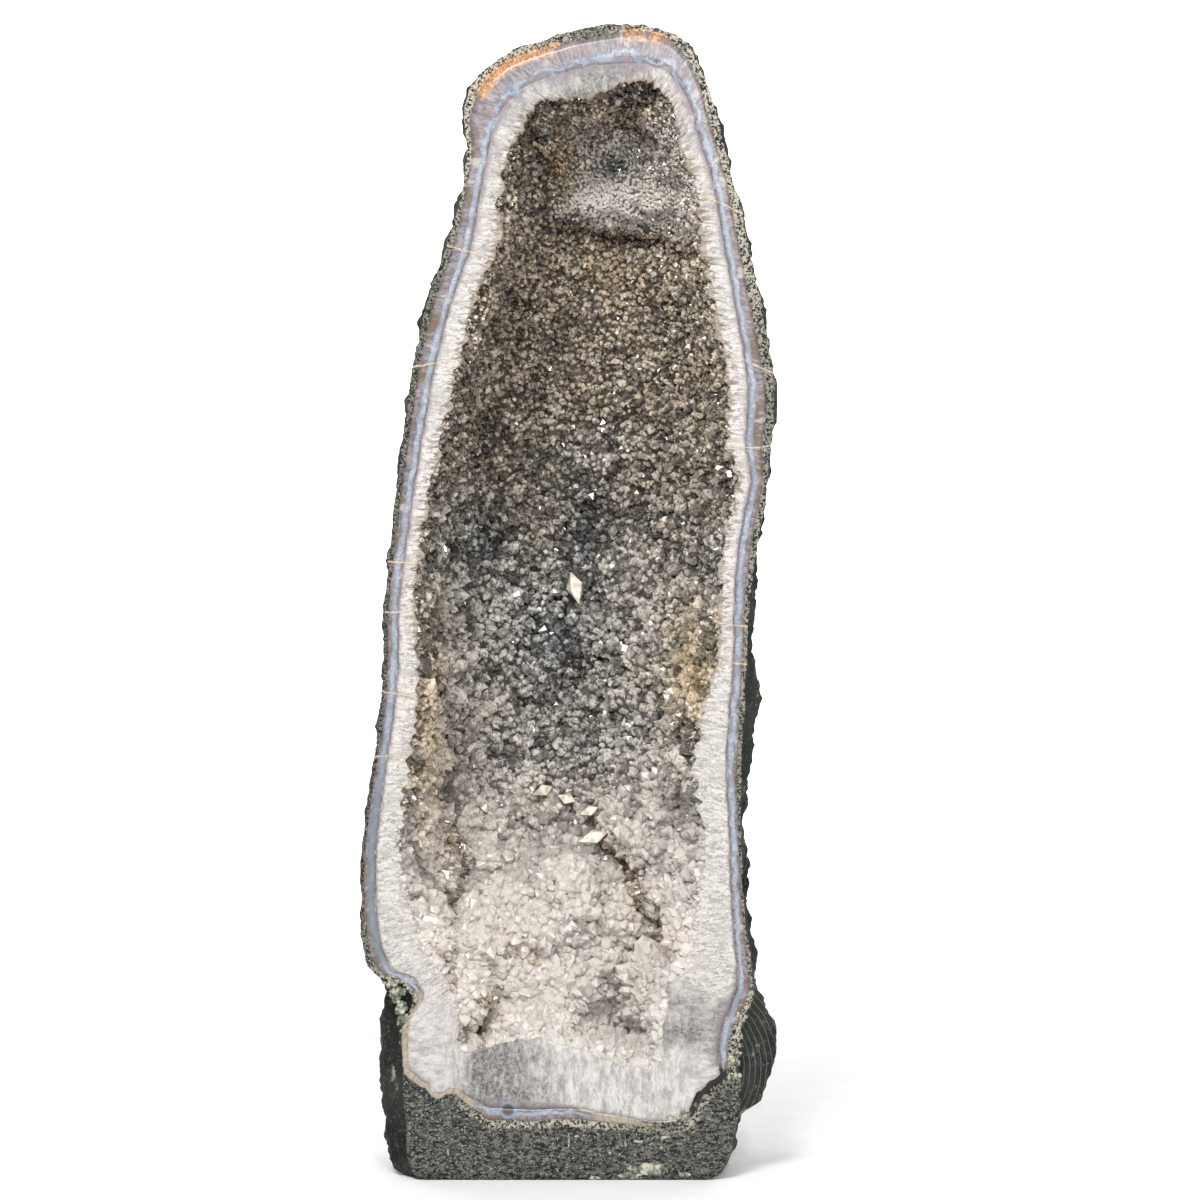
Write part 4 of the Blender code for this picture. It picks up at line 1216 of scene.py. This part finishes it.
def lumps_mesh(name, lumps, seed, rows=18, columns=11):
    """A heap of stretched, wavy spheres. A point is the cosine and sine of two angles times the
    lump's half sizes, pushed out by waves. Lumps are x, depth, z and three half sizes."""
    turn = (np.arange(rows) * 2 * np.pi / rows)[:, None]
    lift = np.linspace(-np.pi / 2, np.pi / 2, columns)[None]
    ball = np.stack([np.cos(turn) * np.cos(lift), np.sin(turn) * np.cos(lift),
                     np.sin(lift) + 0 * turn], axis=-1)
    points, faces = [], []
    for number, (x, y, z, half_x, half_y, half_z) in enumerate(lumps):
        rough = 1 + 0.22 * waves(ball * 10 + number * 7.3, 9, seed) \
            + 0.16 * waves(ball * 10 + number * 5.1, 4, seed + 1)
        lump = ball * rough[..., None] * (half_x, half_y, half_z) + (x, y, z)
        lump[:, 0], lump[:, -1] = lump[:, 0].mean(axis=0), lump[:, -1].mean(axis=0)
        lump[..., 1:] = np.maximum(lump[..., 1:], (-PROUD, 0))
        faces.append(grid_faces(rows, columns) + len(points) * rows * columns)
        points.append(lump.reshape(-1, 3))
    mesh = make_mesh(name, np.concatenate(points), np.concatenate(faces))
    close_seams(mesh)
    return mesh


def crumbs_along(start, end, count, size, seed):
    """Lumps strewn about a line in the sawn plane, each of its own size."""
    rng = np.random.default_rng(seed)
    share = rng.uniform(0, 1, (count, 1))
    middle = np.array(start) * (1 - share) + np.array(end) * share
    middle += rng.normal(size=(count, 3)) * (size * 0.7, size * 0.45, size * 0.8)
    middle[:, 1] = np.maximum(middle[:, 1], 0.6)
    halves = size * rng.uniform(0.4, 1.0, (count, 3)) * (0.9, 0.7, 1.0)
    halves[:, 1] = np.minimum(halves[:, 1], middle[:, 1] + 1.2)
    return np.concatenate([middle, halves], axis=1)


def clay_material():
    """Cream clay with green in its hollows, dull and crumbly."""
    material, add = new_material("celadonite_clay")
    place = add("TexCoord", out="Object")
    fine = add("TexNoise", place, Scale=lumps_across(3), Detail=4.0, Roughness=0.7)
    patches = add("TexNoise", place, Scale=lumps_across(7), Detail=3.0)
    colour = coat(add, "#99977f", ("#c6c3b0", fine, 0.42, 0.60),
                  ("#47574c", patches, 0.48, 0.60, 0.8), ("#1c1f1b", fine, 0.46, 0.36, 0.95))
    return dress(material, Base_Color=colour, Roughness=0.9,
                 Normal=add("Bump", Height=fine, Distance=1.0 * MM))


clay = clay_material()
notch = crumbs_along((-141, 3, 160), (-128, 3, 118), 60, 3.4, 301)
lower_right = crumbs_along((131, 2, 128), (125, 2, 78), 64, 3.0, 302)
ledge = crumbs_along((92, 1, 52), (78, 1, 46), 14, 3.2, 303)
add_piece("clay_crumbs", lumps_mesh("clay_crumbs", np.concatenate([notch, lower_right, ledge]), 310),
          clay, "basalt")
chalk = np.array([
    (58, 0.5, 7.5, 17, 1.0, 5.5), (45, 0.5, 3.5, 10, 0.9, 3.0), (18, 0.5, 1.9, 5, 0.9, 1.8),
    (88, 0.5, 4.0, 7, 0.8, 2.6), (-2, 0.4, 31, 1.0, 0.7, 7), (4, 0.4, 34, 2.4, 0.7, 1.0),
    (42, 0.4, 28, 1.1, 0.7, 6), (52, 0.4, 30, 4.6, 0.7, 1.0), (72, 0.4, 33, 5.6, 0.7, 1.2),
    (70, 0.4, 27, 1.2, 0.7, 4.5), (-10, 0.4, 27, 1.0, 0.7, 1.4), (30, 0.4, 21, 1.2, 0.7, 1.2),
    (106, 0.4, 48, 2.2, 0.7, 1.4), (84, 0.4, 44, 1.4, 0.7, 1.2), (-96, 0.4, 22, 1.0, 0.7, 3.4),
])
add_piece("chalky_patches", lumps_mesh("chalky_patches", chalk, 320), clay, "basalt")

# %% [markdown]
# ## Floor, light and camera
#
# A pale floor that curves up into a backdrop leaves the stone alone on a light ground. One large
# soft light from above and in front models the hollow, a small bright one beside the camera finds
# the faces that glint, and two behind the stone only wash the backdrop. The camera stands level
# with the stone's middle, far enough off for little perspective.

# %% Stage, lights and camera
def floor_and_backdrop():
    """A sheet that runs back along the floor and bends up into a wall through a quarter circle."""
    turn = np.linspace(0, np.pi / 2, 24)
    y = np.concatenate([[-6000], 4100 + 900 * np.sin(turn), [5000]])
    z = np.concatenate([[0], 900 - 900 * np.cos(turn), [6500]])
    x = np.array([-7000, 7000])
    points = np.stack(np.broadcast_arrays(x[:, None], y, z), axis=-1)
    columns = len(y)
    column = np.arange(columns - 1)
    quads = np.stack([column, column + columns, column + columns + 1, column + 1], axis=-1)
    mesh = make_mesh("floor", points.reshape(-1, 3), quads)
    material, add = new_material("white_paper")
    fibre = add("TexNoise", add("TexCoord", out="Object"), Scale=lumps_across(40), Detail=2.0)
    shown = coat(add, "#f7f7f7", ("#fbfbfb", fibre, 0.3, 0.7))
    mesh.materials.append(dress(material, Base_Color=shown, Roughness=0.9))
    new_object("floor", mesh)


def soft_light(name, place, target, size, watts):
    """A square area light that looks at a target."""
    lamp = bpy.data.lights.new(name, "AREA")
    lamp.size = size
    lamp.energy = watts
    light = new_object(name, lamp)
    light.location = place
    light.rotation_euler = (Vector(target) - Vector(place)).to_track_quat("-Z", "Y").to_euler()


floor_and_backdrop()
soft_light("key", (-0.55, -2.2, 2.3), (0, 0, 0.4), 0.8, 61)
soft_light("fill", (1.6, -2.4, 0.9), (0, 0, 0.5), 1.6, 9)
soft_light("spark", (0.35, -2.7, 1.5), (0, 0, 0.45), 0.1, 22)
soft_light("wash_left", (-2.6, 3.2, 2.6), (-0.7, 5.0, 1.0), 1.8, 170)
soft_light("wash_right", (2.6, 3.2, 2.6), (0.7, 5.0, 1.0), 1.8, 170)
world = bpy.data.worlds.new("studio")
world.use_nodes = True
world.node_tree.nodes["Background"].inputs["Color"].default_value = (1, 1, 1, 1)
world.node_tree.nodes["Background"].inputs["Strength"].default_value = 0.35
bpy.context.scene.world = world
bpy.context.scene.view_settings.view_transform = "Standard"

# The stone's height over its pixels in the picture, the picture's width, the stone's middle and
# base in it, the camera's distance in metres, and the width of its sensor in millimetres
PIXEL_MM = 900 / 1157
FRAME_PIXELS = 1200
MIDDLE_PIXEL_X, BASE_PIXEL_Y = 571.5, 1180
DISTANCE = 2.6
SENSOR = 36
camera_data = bpy.data.cameras.new("camera")
camera = new_object("camera", camera_data)
camera_x = (FRAME_PIXELS / 2 - MIDDLE_PIXEL_X) * PIXEL_MM - MIDDLE_X
camera_z = (BASE_PIXEL_Y - FRAME_PIXELS / 2) * PIXEL_MM
camera.location = (camera_x * MM, FACE_Y - DISTANCE, camera_z * MM)
camera.rotation_euler = (np.pi / 2, 0, 0)
camera_data.sensor_width = SENSOR
camera_data.lens = SENSOR * DISTANCE / (FRAME_PIXELS * PIXEL_MM * MM)
bpy.context.scene.camera = camera
print("lens mm:", round(camera_data.lens, 1))
